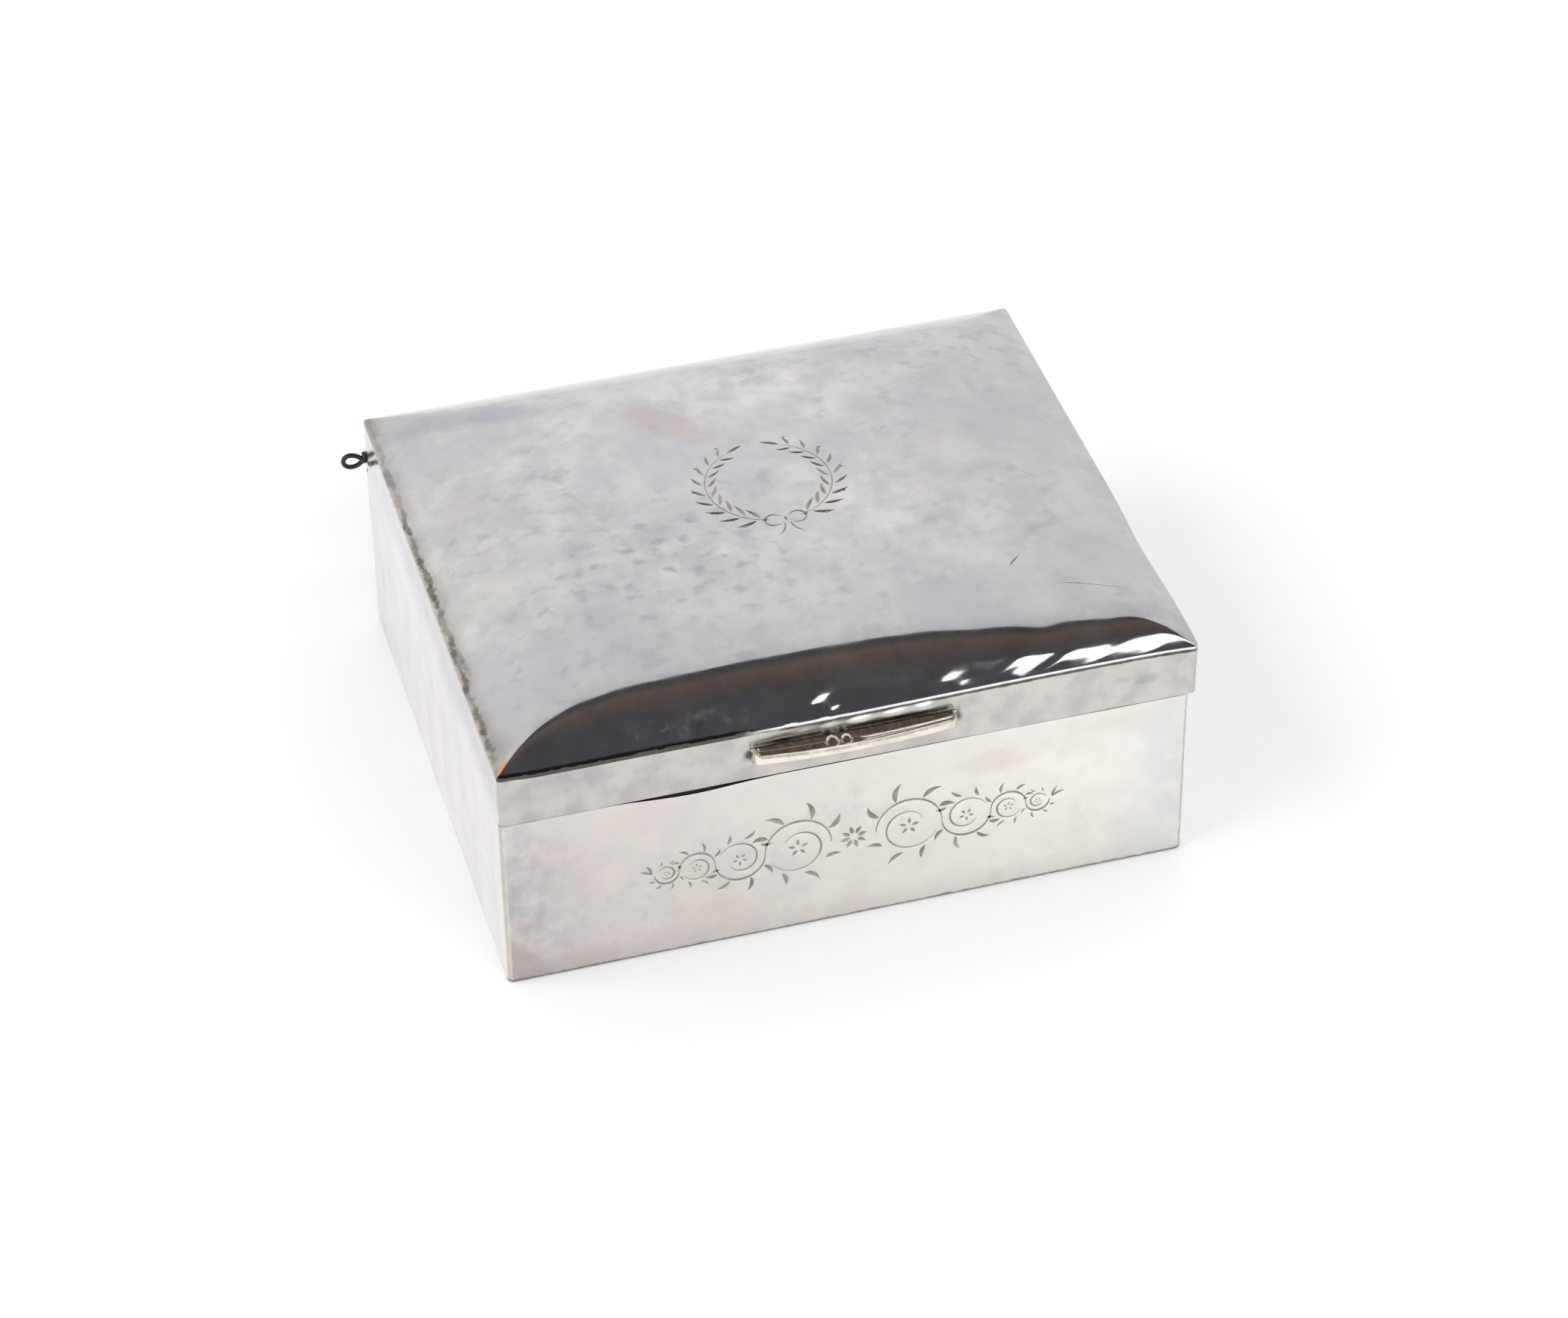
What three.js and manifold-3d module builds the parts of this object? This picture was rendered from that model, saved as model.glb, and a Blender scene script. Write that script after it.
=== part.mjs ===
// A table box for cigars in sheet silver: a cedar-lined base and a pillow-shaped lid on a full-length hinge,
// whose wire pin ends in an eye and can be drawn out.
// Millimetres, +Z up. The origin is the middle of the underside, +X points to the right and -Y to the front.
import * as THREE from "three";
import { mergeVertices } from "three/addons/utils/BufferGeometryUtils.js";
import Module from "manifold-3d";

const wasm = await Module();
wasm.setup();

// Base
const BASE_WIDTH = 165; // left to right over the silver
const BASE_DEPTH = 143; // front to back over the silver
const BASE_HEIGHT = 47.3; // underside to the rim of the base
const SHEET = 0.8; // thickness of the silver sheet
const CORNER_RADIUS = 1.4; // upright corners, outside
const CORNER_STEPS = 4; // facets round each upright corner
const SOLDER_GAP = 0.1; // film between pieces that are soldered together

// Lid
const SEAM_GAP = 0.3; // slit between the base and the closed lid
const LID_OVERHANG = 0.8; // the lid is wider than the base by this on each side
const LID_BAND_HEIGHT = 14.3; // lower edge of the lid to the rim of its top
const LID_SHIFT = 1; // the lid sits this far to the right on its hinge
const DOME_RISE = 9.5; // rim of the lid to the crown of its top
const ROLL_POWER = 4.5; // how tightly the top rolls over at its edges
const HIP_SHARPNESS = 5; // how crisply two rolls meet at a corner
const DOME_CELLS_X = 28;
const DOME_CELLS_Y = 24;

// Thumb-piece
const THUMB_LENGTH = 49;
const THUMB_THICKNESS = 3.6; // at the lid
const THUMB_REACH = 5.2; // stands out this far at its middle
const THUMB_END_REACH = 2.7; // and this far at its ends
const THUMB_END_RADIUS = 1.6;
const THUMB_EDGE = 0.4; // softened edges
const THUMB_SLANT = 20; // its underside rises to the front, in degrees
const THUMB_CLIMB = 5.4; // lower edge of the lid to the root of the thumb-piece
const THUMB_STEPS = 12; // facets along each curve of its outline

// Hinge
const HINGE_CLIMB = 1; // the hinge line lies this far above the seam
const PIN_RADIUS = 0.6;
const PIN_PLAY = 0.12; // between the pin and a knuckle's bore
const KNUCKLE_RADIUS = 2.3;
const KNUCKLE_COUNT = 7; // the base has the odd ones, the lid the even ones
const KNUCKLE_GAP = 0.3; // between neighbouring knuckles
const KNUCKLE_SIDES = 24;
const BARREL_INSET = 0.5; // the barrel stops this far short of each end of the base
const RUNNING_GAP = 0.15; // between the barrel and the groove it lies in
const BEARER_INSET = 2; // a bearer stops this far short of each end of the barrel
const BEARER_LIP = 1.5; // a bearer's groove starts this far from the hinge line, at the wall
const BEARER_FACE = 1.6; // height of a bearer's outer face
const BEARER_FOOT = 2.6; // height of the slope from that face back to the wall
const STOP_LAND = 1; // breadth of the face that stops the lid
const STOP_ANGLE = 50; // that face's slant above or below the level, in degrees
const BEARER_STEPS = 8; // facets along a bearer's groove

// Eye of the hinge pin
const EYE_NECK = 0.9; // end of the barrel to the start of the eye
const EYE_LENGTH = 5.4; // along the pin, between wire centres
const EYE_HEIGHT = 3.5; // across the pin, between wire centres
const EYE_LIFT = 0.6; // the eye is bent up this far at its end
const EYE_TAPER = 0.5; // how far it narrows to the neck, 0 for an oval
const EYE_OVERLAP = 1.6; // the wire's tail lies this far in front of the pin
const EYE_POINTS = 20;
const WIRE_SIDES = 10;
const WIRE_STEPS = 36;

// Cedar lining
const BOARD = 4.5; // side boards
const FLOOR_BOARD = 3;
const DIVIDER_BOARD = 3;
const LINING_PLAY = 0.15; // between the boards, and between them and the silver
const LIP_RISE = 3; // the lining stands this far above the rim of the base
const LIP_PLAY = 0.8; // between that lip and the lid
const GROOVE_DEPTH = 1.2; // of the divider's groove in the front and back boards
const DIVIDER_DROP = 6; // the divider stops this far below the rim of the base

// Levels and places worked out from the sizes above
const LID_WIDTH = BASE_WIDTH + 2 * LID_OVERHANG;
const LID_BOTTOM = BASE_HEIGHT + SEAM_GAP;
const LID_RIM = LID_BOTTOM + LID_BAND_HEIGHT;
const HINGE_Y = BASE_DEPTH / 2 + KNUCKLE_RADIUS + SOLDER_GAP;
const HINGE_Z = BASE_HEIGHT + SEAM_GAP / 2 + HINGE_CLIMB;
const BARREL_LENGTH = BASE_WIDTH - 2 * BARREL_INSET;
const LINING_WIDTH = BASE_WIDTH - 2 * (SHEET + LINING_PLAY);
const LINING_DEPTH = BASE_DEPTH - 2 * (SHEET + LINING_PLAY);
const FLOOR_TOP = SHEET + LINING_PLAY + FLOOR_BOARD;
const WALL_FOOT = FLOOR_TOP + LINING_PLAY;
const LIP_TOP = BASE_HEIGHT + LIP_RISE;
const LIP_INSET = LIP_PLAY + Math.max(LID_SHIFT - LID_OVERHANG, 0);
const INNER_RADIUS = Math.max(CORNER_RADIUS - SHEET, SHEET / 4);

// Materials
const material = (color, roughness, metalness) => new THREE.MeshStandardMaterial({ color, roughness, metalness });
const silver = () => material(0xc6c5c8, 0.28, 1);
const cedar = () => material(0x9c5f3a, 0.65, 0);
const iron = () => material(0x35332f, 0.45, 1);

// Adds a named piece to a group.
function addPiece(group, name, geometry, finish) {
  const mesh = new THREE.Mesh(geometry, finish);
  mesh.name = name;
  group.add(mesh);
  return mesh;
}

// A closed geometry as a solid for joining and cutting.
function solidOf(geometry) {
  const bare = geometry.clone();
  bare.deleteAttribute("normal");
  bare.deleteAttribute("uv");
  const merged = mergeVertices(bare);
  const vertProperties = new Float32Array(merged.attributes.position.array);
  const triVerts = new Uint32Array(merged.index.array);
  return new wasm.Manifold(new wasm.Mesh({ numProp: 3, vertProperties, triVerts }));
}

// A joined or cut solid as a geometry again.
function geometryOf(solid) {
  const mesh = solid.getMesh();
  const geometry = new THREE.BufferGeometry();
  geometry.setAttribute("position", new THREE.BufferAttribute(mesh.vertProperties, 3));
  geometry.setIndex(new THREE.BufferAttribute(mesh.triVerts, 1));
  geometry.computeVertexNormals();
  return geometry;
}

// A block between two corners.
function block([x0, y0, z0], [x1, y1, z1]) {
  const geometry = new THREE.BoxGeometry(x1 - x0, y1 - y0, z1 - z0);
  return geometry.translate((x0 + x1) / 2, (y0 + y1) / 2, (z0 + z1) / 2);
}

// A rectangle round the origin with rounded corners.
function roundedRectangle(width, depth, radius) {
  const x = width / 2 - radius;
  const y = depth / 2 - radius;
  const shape = new THREE.Shape();
  shape.absarc(x, y, radius, 0, Math.PI / 2);
  shape.absarc(-x, y, radius, Math.PI / 2, Math.PI);
  shape.absarc(-x, -y, radius, Math.PI, (3 * Math.PI) / 2);
  shape.absarc(x, -y, radius, (3 * Math.PI) / 2, 2 * Math.PI);
  return shape;
}

// An outline drawn up from one level to another.
function prism(shape, bottom, top, curveSegments) {
  const geometry = new THREE.ExtrudeGeometry(shape, { depth: top - bottom, bevelEnabled: false, curveSegments });
  return geometry.translate(0, 0, bottom);
}

// Four upright walls in one bent strip.
function band(width, bottom, top) {
  const outline = roundedRectangle(width, BASE_DEPTH, CORNER_RADIUS);
  outline.holes.push(roundedRectangle(width - 2 * SHEET, BASE_DEPTH - 2 * SHEET, INNER_RADIUS));
  return prism(outline, bottom, top, CORNER_STEPS);
}

function basePlate() {
  const inset = 2 * (SHEET + SOLDER_GAP);
  return prism(roundedRectangle(BASE_WIDTH - inset, BASE_DEPTH - inset, INNER_RADIUS), 0, SHEET, CORNER_STEPS);
}

// Height of one roll as a share of the crown, 0 at the edge and 1 in the middle.
function roll(distance, half) {
  return Math.max(1 - Math.abs(distance / half) ** ROLL_POWER, 0);
}

// Rise of the lid's top above its rim. The rolls of neighbouring sides meet in a hip, crisp at the corner and lost inwards.
function domeRise(x, y) {
  const across = roll(x, LID_WIDTH / 2);
  const along = roll(y, BASE_DEPTH / 2);
  if (across * along === 0) return 0;
  const mean = (across ** -HIP_SHARPNESS + along ** -HIP_SHARPNESS) / 2;
  return DOME_RISE * mean ** (-1 / HIP_SHARPNESS);
}

// Places across a side from -half to half, closer together towards the edges, where the top curves most.
function eased(cells, half) {
  return Array.from({ length: cells + 1 }, (_, i) => half * Math.sin(Math.PI * (i / cells - 0.5)));
}

// The lid's top: a sheet that follows the pillow, trimmed to the lid's rounded outline.
function lidDome() {
  const xs = eased(DOME_CELLS_X, LID_WIDTH / 2);
  const ys = eased(DOME_CELLS_Y, BASE_DEPTH / 2);
  const columns = xs.length;
  const layer = columns * ys.length;
  const positions = [];
  for (const drop of [SHEET, 0]) {
    for (const y of ys) for (const x of xs) positions.push(x, y, LID_RIM + domeRise(x, y) - drop);
  }
  const faces = [];
  const quad = (a, b, c, d) => faces.push(a, b, c, a, c, d);
  for (let j = 0; j < DOME_CELLS_Y; j++) {
    for (let i = 0; i < DOME_CELLS_X; i++) {
      const corner = j * columns + i;
      const ring = [corner, corner + 1, corner + columns + 1, corner + columns];
      quad(...ring.map((n) => n + layer));
      quad(...ring.reverse());
    }
  }
  const rim = [];
  for (let i = 0; i < DOME_CELLS_X; i++) rim.push(i);
  for (let j = 0; j < DOME_CELLS_Y; j++) rim.push(j * columns + DOME_CELLS_X);
  for (let i = DOME_CELLS_X; i > 0; i--) rim.push(DOME_CELLS_Y * columns + i);
  for (let j = DOME_CELLS_Y; j > 0; j--) rim.push(j * columns);
  rim.forEach((n, i) => {
    const next = rim[(i + 1) % rim.length];
    quad(n, next, next + layer, n + layer);
  });
  const sheet = new THREE.BufferGeometry();
  sheet.setAttribute("position", new THREE.Float32BufferAttribute(positions, 3));
  sheet.setIndex(faces);
  const outline = roundedRectangle(LID_WIDTH, BASE_DEPTH, CORNER_RADIUS);
  const trim = prism(outline, LID_RIM - 2 * SHEET, LID_RIM + 2 * DOME_RISE, CORNER_STEPS);
  return geometryOf(solidOf(sheet).intersect(solidOf(trim)));
}

// The long bar under the front rim of the lid: flat at the back, bowed at the front, round at the ends, slanted below.
function thumbPiece() {
  const end = THUMB_LENGTH / 2;
  const bow = 2 * THUMB_REACH - THUMB_END_REACH;
  const turn = THUMB_END_REACH - THUMB_END_RADIUS;
  const outline = new THREE.Shape();
  outline.moveTo(end, 0);
  outline.lineTo(-end, 0);
  outline.absarc(-end + THUMB_END_RADIUS, -turn, THUMB_END_RADIUS, Math.PI, (3 * Math.PI) / 2);
  outline.quadraticCurveTo(0, -bow, end - THUMB_END_RADIUS, -THUMB_END_REACH);
  outline.absarc(end - THUMB_END_RADIUS, -turn, THUMB_END_RADIUS, (3 * Math.PI) / 2, 2 * Math.PI);
  const bar = new THREE.ExtrudeGeometry(outline, {
    depth: THUMB_THICKNESS - 2 * THUMB_EDGE,
    bevelThickness: THUMB_EDGE,
    bevelSize: THUMB_EDGE,
    bevelOffset: -THUMB_EDGE,
    bevelSegments: 2,
    curveSegments: THUMB_STEPS,
  });
  bar.translate(0, 0, THUMB_EDGE);
  const below = block([-THUMB_LENGTH, -2 * THUMB_REACH, -THUMB_THICKNESS], [THUMB_LENGTH, THUMB_REACH, 0]);
  below.rotateX(-THREE.MathUtils.degToRad(THUMB_SLANT));
  return geometryOf(solidOf(bar).subtract(solidOf(below)));
}

// A run of the hinge's barrel along X, round the hinge line.
function knuckle(index) {
  const pitch = (BARREL_LENGTH + KNUCKLE_GAP) / KNUCKLE_COUNT;
  const start = -BARREL_LENGTH / 2 + index * pitch;
  const ring = new THREE.Shape().absarc(0, 0, KNUCKLE_RADIUS, 0, 2 * Math.PI);
  ring.holes.push(new THREE.Path().absarc(0, 0, PIN_RADIUS + PIN_PLAY, 0, 2 * Math.PI));
  return prism(ring, 0, pitch - KNUCKLE_GAP, KNUCKLE_SIDES / 2).rotateY(Math.PI / 2).translate(start, 0, 0);
}

// A strip on the back wall, hollowed for the barrel, round the hinge line. The side is 1 for the lid's and -1 for the base's.
// The two strips face each other behind the barrel, and meet there when the lid is wide open.
function bearer(side) {
  const groove = KNUCKLE_RADIUS + RUNNING_GAP;
  const wall = -KNUCKLE_RADIUS;
  const stop = THREE.MathUtils.degToRad(STOP_ANGLE);
  const start = Math.PI - Math.asin(BEARER_LIP / groove);
  const outer = groove + STOP_LAND;
  const faceTop = outer * Math.sin(stop) + BEARER_FACE;
  const section = new THREE.Shape();
  section.moveTo(wall, BEARER_LIP);
  section.absarc(0, 0, groove, start, stop, true);
  section.lineTo(outer * Math.cos(stop), outer * Math.sin(stop));
  section.lineTo(outer * Math.cos(stop), faceTop);
  section.lineTo(wall, faceTop + BEARER_FOOT);
  const length = BARREL_LENGTH - 2 * BEARER_INSET;
  const strip = new THREE.ExtrudeGeometry(section, { depth: length, bevelEnabled: false, curveSegments: BEARER_STEPS });
  // The section's first axis becomes Y and its second Z, and the strip runs along X.
  strip.translate(0, 0, -length / 2).rotateX(Math.PI / 2).rotateZ(Math.PI / 2);
  return side > 0 ? strip : strip.rotateX(Math.PI).rotateZ(Math.PI);
}

// The wire that the lid turns on: a straight pin along the hinge line, bent at its left end into a teardrop eye.
function hingePin() {
  const left = -BARREL_LENGTH / 2 - EYE_NECK;
  const right = BARREL_LENGTH / 2;
  const stem = new THREE.CylinderGeometry(PIN_RADIUS, PIN_RADIUS, right - left, WIRE_SIDES);
  stem.rotateZ(Math.PI / 2).translate((left + right) / 2, 0, 0);
  const points = [new THREE.Vector3(left + EYE_NECK, 0, 0), new THREE.Vector3(left + EYE_NECK / 2, 0, 0)];
  const turns = Array.from({ length: EYE_POINTS }, (_, i) => (2 * Math.PI * (i + 1)) / (EYE_POINTS + 1));
  const teardrop = (t) => Math.sin(t) * Math.sin(t / 2) ** EYE_TAPER;
  const fullest = Math.max(...turns.map(teardrop));
  for (const t of turns) {
    const aside = EYE_OVERLAP * THREE.MathUtils.smoothstep(t, Math.PI / 2, 1.5 * Math.PI);
    const out = (EYE_LENGTH * (1 - Math.cos(t))) / 2;
    const up = (-EYE_HEIGHT * teardrop(t)) / (2 * fullest) + (EYE_LIFT * out) / EYE_LENGTH;
    points.push(new THREE.Vector3(left - out, -aside, up));
  }
  const wire = new THREE.Shape().absarc(0, 0, PIN_RADIUS, 0, 2 * Math.PI);
  const extrudePath = new THREE.CatmullRomCurve3(points);
  const eye = new THREE.ExtrudeGeometry(wire, { steps: WIRE_STEPS, curveSegments: WIRE_SIDES / 2, extrudePath });
  return geometryOf(solidOf(stem).add(solidOf(eye)));
}

// The whole outline of the lining, between two levels.
function liningPrism(bottom, top) {
  return prism(roundedRectangle(LINING_WIDTH, LINING_DEPTH, INNER_RADIUS), bottom, top, CORNER_STEPS);
}

// A side board with its lip, which stands in from the lid above the rim of the base. The board runs along X in front of
// or behind the compartments (side -1 or 1), and has a groove for the divider.
function longBoard(side) {
  const outer = LINING_DEPTH / 2;
  const inner = outer - BOARD;
  const end = LINING_WIDTH / 2;
  const lipEnd = end - LIP_INSET;
  const wall = solidOf(block([-end, inner, WALL_FOOT], [end, outer, BASE_HEIGHT]));
  const lip = solidOf(block([-lipEnd, inner, WALL_FOOT], [lipEnd, outer - LIP_INSET, LIP_TOP]));
  const half = DIVIDER_BOARD / 2 + LINING_PLAY;
  const groove = solidOf(block([-half, inner - GROOVE_DEPTH, FLOOR_TOP], [half, inner + GROOVE_DEPTH, LIP_TOP + LIP_RISE]));
  const outline = solidOf(liningPrism(0, LIP_TOP + LIP_RISE));
  const board = geometryOf(wall.add(lip).subtract(groove).intersect(outline));
  return side > 0 ? board : board.rotateZ(Math.PI);
}

// A side board between the front and back boards, on the left or the right (side -1 or 1).
function shortBoard(side) {
  const outer = LINING_WIDTH / 2;
  const inner = outer - BOARD;
  const end = LINING_DEPTH / 2 - BOARD - LINING_PLAY;
  const wall = solidOf(block([inner, -end, WALL_FOOT], [outer, end, BASE_HEIGHT]));
  const lip = solidOf(block([inner, -end, WALL_FOOT], [outer - LIP_INSET, end, LIP_TOP]));
  const board = geometryOf(wall.add(lip));
  return side > 0 ? board : board.rotateZ(Math.PI);
}

// The board between the two compartments, let into the front and back boards.
function divider() {
  const end = LINING_DEPTH / 2 - BOARD + GROOVE_DEPTH - LINING_PLAY;
  const half = DIVIDER_BOARD / 2;
  return block([-half, -end, WALL_FOOT], [half, end, BASE_HEIGHT - DIVIDER_DROP]);
}

// Assembly
const box = new THREE.Group();
const base = new THREE.Group();
const lid = new THREE.Group();
const hinge = new THREE.Group();
lid.position.x = LID_SHIFT;
hinge.position.set(0, HINGE_Y, HINGE_Z);
box.add(base, lid, hinge);

addPiece(base, "base_band", band(BASE_WIDTH, 0, BASE_HEIGHT), silver());
addPiece(base, "base_plate", basePlate(), silver());
addPiece(base, "lining_floor", liningPrism(SHEET + LINING_PLAY, FLOOR_TOP), cedar());
addPiece(base, "lining_front", longBoard(-1), cedar());
addPiece(base, "lining_back", longBoard(1), cedar());
addPiece(base, "lining_left", shortBoard(-1), cedar());
addPiece(base, "lining_right", shortBoard(1), cedar());
addPiece(base, "divider", divider(), cedar());

addPiece(lid, "lid_band", band(LID_WIDTH, LID_BOTTOM, LID_RIM - SHEET - SOLDER_GAP), silver());
addPiece(lid, "lid_dome", lidDome(), silver());
const thumb = addPiece(lid, "thumb_piece", thumbPiece(), silver());
thumb.position.set(0, -BASE_DEPTH / 2 - SOLDER_GAP, LID_BOTTOM + THUMB_CLIMB);

addPiece(hinge, "base_bearer", bearer(-1), silver());
const lidBearer = addPiece(hinge, "lid_bearer", bearer(1), silver());
lidBearer.position.x = LID_SHIFT;
for (let i = 0; i < KNUCKLE_COUNT; i++) {
  const owner = i % 2 === 0 ? "base" : "lid";
  addPiece(hinge, `${owner}_knuckle_${Math.floor(i / 2) + 1}`, knuckle(i), silver());
}
addPiece(hinge, "hinge_pin", hingePin(), iron());

export default box;
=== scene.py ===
"""Looks of a table cigar box in tarnished sheet silver, with a pillow lid and a cedar lining."""

import math

import bmesh
import bpy
import numpy as np
from mathutils import Matrix, Vector, noise


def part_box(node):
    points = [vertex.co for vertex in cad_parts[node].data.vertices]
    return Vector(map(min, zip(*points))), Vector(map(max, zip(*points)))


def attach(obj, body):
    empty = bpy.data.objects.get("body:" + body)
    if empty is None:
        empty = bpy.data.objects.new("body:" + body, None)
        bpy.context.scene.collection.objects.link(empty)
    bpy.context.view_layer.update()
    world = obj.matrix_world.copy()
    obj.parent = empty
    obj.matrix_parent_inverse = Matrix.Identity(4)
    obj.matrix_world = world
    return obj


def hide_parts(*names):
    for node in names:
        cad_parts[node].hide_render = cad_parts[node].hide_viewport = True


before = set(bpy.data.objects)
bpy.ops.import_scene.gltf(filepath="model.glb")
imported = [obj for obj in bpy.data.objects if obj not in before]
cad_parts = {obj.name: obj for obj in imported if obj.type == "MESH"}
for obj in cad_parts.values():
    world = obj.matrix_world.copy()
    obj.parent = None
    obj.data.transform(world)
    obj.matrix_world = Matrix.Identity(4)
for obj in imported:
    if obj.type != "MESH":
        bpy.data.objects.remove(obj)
scene = bpy.context.scene
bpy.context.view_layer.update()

# Sizes in metres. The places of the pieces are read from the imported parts. Edges of the sheet are
# sharp above an angle in degrees, and a point belongs to a wall within a zone from its side.
MM = 0.001
SHEET = 0.8 * MM
CORNER_RADIUS = 1.4 * MM
ROLL_POWER = 4.5
HIP_SHARPNESS = 5
SHEET_SHARP = 32
WALL_ZONE = 2 * MM
KNUCKLE_BORE = 0.72 * MM
WIRE_RADIUS = 0.6 * MM
THUMB_END_RADIUS = 1.6 * MM
THUMB_END_REACH = 2.7 * MM
BASE_LOW, BASE_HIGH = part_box("base_band")
LID_LOW, LID_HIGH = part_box("lid_band")
DOME_LOW, DOME_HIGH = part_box("lid_dome")
THUMB_LOW, THUMB_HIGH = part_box("thumb_piece")
KNUCKLE_LOW, KNUCKLE_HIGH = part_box("base_knuckle_1")
RIM = DOME_LOW.z + SHEET
LID_CENTRE = (DOME_LOW + DOME_HIGH) / 2
LID_HALF = (DOME_HIGH - DOME_LOW) / 2
HINGE = (KNUCKLE_LOW + KNUCKLE_HIGH) / 2
THUMB_X = (THUMB_LOW.x + THUMB_HIGH.x) / 2
THUMB_HALF = (THUMB_HIGH.x - THUMB_LOW.x) / 2


# Meshes

def lattice(rows, columns, wrap_rows, wrap_columns):
    """Quads between neighbouring points of a grid, which may close on itself either way."""
    faces = []
    for i in range(rows if wrap_rows else rows - 1):
        for j in range(columns if wrap_columns else columns - 1):
            k = (i + 1) % rows
            m = (j + 1) % columns
            faces.append((i * columns + j, i * columns + m, k * columns + m, k * columns + j))
    return faces


def face_out(mesh):
    """Turns the faces of a closed mesh outwards."""
    work = bmesh.new()
    work.from_mesh(mesh)
    bmesh.ops.recalc_face_normals(work, faces=work.faces)
    work.to_mesh(mesh)
    work.free()


def add_piece(name, points, faces, material, body, nodes, sharp=40, marks=None):
    """A closed mesh on a body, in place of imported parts. marks are named shares for each point."""
    mesh = bpy.data.meshes.new(name)
    mesh.from_pydata([tuple(p) for p in points], [], faces)
    for mark, values in (marks or {}).items():
        layer = mesh.attributes.new(mark, "FLOAT", "POINT")
        layer.data.foreach_set("value", np.asarray(values, np.float32))
    face_out(mesh)
    return finish_piece(name, mesh, material, body, nodes, sharp)


def finish_piece(name, mesh, material, body, nodes, sharp):
    """Shades a mesh and puts it in the scene on its body."""
    mesh.shade_smooth()
    mesh.set_sharp_from_angle(angle=math.radians(sharp))
    mesh.materials.clear()
    mesh.materials.append(material)
    piece = bpy.data.objects.new(name, mesh)
    scene.collection.objects.link(piece)
    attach(piece, body)
    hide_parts(*nodes)
    return piece


def softened(node, edge, material, body):
    """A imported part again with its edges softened."""
    work = bmesh.new()
    work.from_mesh(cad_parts[node].data)
    bmesh.ops.remove_doubles(work, verts=work.verts, dist=0.01 * MM)
    bmesh.ops.dissolve_limit(work, angle_limit=math.radians(2), verts=work.verts, edges=work.edges)
    crisp = [e for e in work.edges if e.calc_face_angle(0) > math.radians(20)]
    bmesh.ops.bevel(
        work, geom=crisp, offset=edge, segments=2, profile=0.5, affect="EDGES", clamp_overlap=True
    )
    mesh = bpy.data.meshes.new(node + "_soft")
    work.to_mesh(mesh)
    work.free()
    return finish_piece(node + "_soft", mesh, material, body, [node], 35)


def swell(place, size, seed):
    """Smooth unevenness between -1 and 1, with bumps of about this size in mm."""
    return noise.noise(Vector(place) / (size * MM) + Vector((seed * 7.3, seed * 3.1, seed * 5.7)))


def ease(value, low, high):
    """0 below low, 1 above high and a smooth step between."""
    t = min(max((value - low) / (high - low), 0), 1)
    return t * t * (3 - 2 * t)


def hump(value, centre, width):
    return math.exp(-(((value - centre) / width) ** 2))


# Walls

def corner_path(centre, half, radius, step):
    """Points round a rectangle with rounded corners, each with its outward direction."""
    path = []
    steps = 8
    signs = [(1, 1), (-1, 1), (-1, -1), (1, -1)]
    for k, (sx, sy) in enumerate(signs):
        x = centre.x + sx * (half.x - radius)
        y = centre.y + sy * (half.y - radius)
        for i in range(steps + 1):
            a = math.pi / 2 * (k + i / steps)
            path.append((x + radius * math.cos(a), y + radius * math.sin(a), math.cos(a), math.sin(a)))
        nx, ny = signs[(k + 1) % 4]
        end_x = centre.x + nx * (half.x - radius) + radius * math.cos(a)
        end_y = centre.y + ny * (half.y - radius) + radius * math.sin(a)
        start_x, start_y = path[-1][:2]
        count = round(math.hypot(end_x - start_x, end_y - start_y) / step)
        for i in range(1, count):
            t = i / count
            along_x = start_x + (end_x - start_x) * t
            along_y = start_y + (end_y - start_y) * t
            path.append((along_x, along_y, math.cos(a), math.sin(a)))
    return path


def wall_section(bottom, top, bottom_edge, top_edge, rows):
    """A wall cut through, as (distance in from outside, height), anticlockwise from its foot."""
    steps = 4
    inner_rows = 6
    inner = 0.15 * MM
    turn = [math.pi / 2 * i / steps for i in range(steps + 1)]
    section = [(bottom_edge * (1 - math.sin(a)), bottom + bottom_edge * (1 - math.cos(a))) for a in turn]
    span = top - top_edge - bottom - bottom_edge
    section += [(0, bottom + bottom_edge + span * i / rows) for i in range(1, rows)]
    section += [(top_edge * (1 - math.cos(a)), top - top_edge + top_edge * math.sin(a)) for a in turn]
    section += [(SHEET - inner * (1 - math.sin(a)), top - inner * (1 - math.cos(a))) for a in turn]
    section += [(SHEET, top + (bottom - top) * i / inner_rows) for i in range(1, inner_rows)]
    section += [(SHEET, bottom)]
    return section


def wall_piece(name, low, high, section, step, push, lift, marks, material, body, nodes):
    """Four walls in one strip. At each point the sheet bulges out by push and is moved up by lift,
    and marks gives its wear, its grime and painted shade, and its polish and painted glint."""
    path = corner_path((low + high) / 2, (high - low) / 2, CORNER_RADIUS, step)
    points, looks = [], []
    for x, y, nx, ny in path:
        for inset, z in section:
            out = push(x, y, z) - inset
            points.append((x + nx * out, y + ny * out, z + lift(x, y, z)))
            wear, grime_and_shade, polish_and_glint = marks(x, y, z)
            looks.append((max(wear, 2 * abs(nx * ny)), grime_and_shade, polish_and_glint))
    names = dict(zip(("wear", "grime_and_shade", "polish_and_glint"), zip(*looks)))
    faces = lattice(len(path), len(section), True, True)
    return add_piece(name, points, faces, material, body, nodes, SHEET_SHARP, names)


def base_push(x, y, z):
    return 0.10 * MM * swell((x, y, z), 26, 1) + 0.03 * MM * swell((x, y, z), 9, 2)


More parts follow.
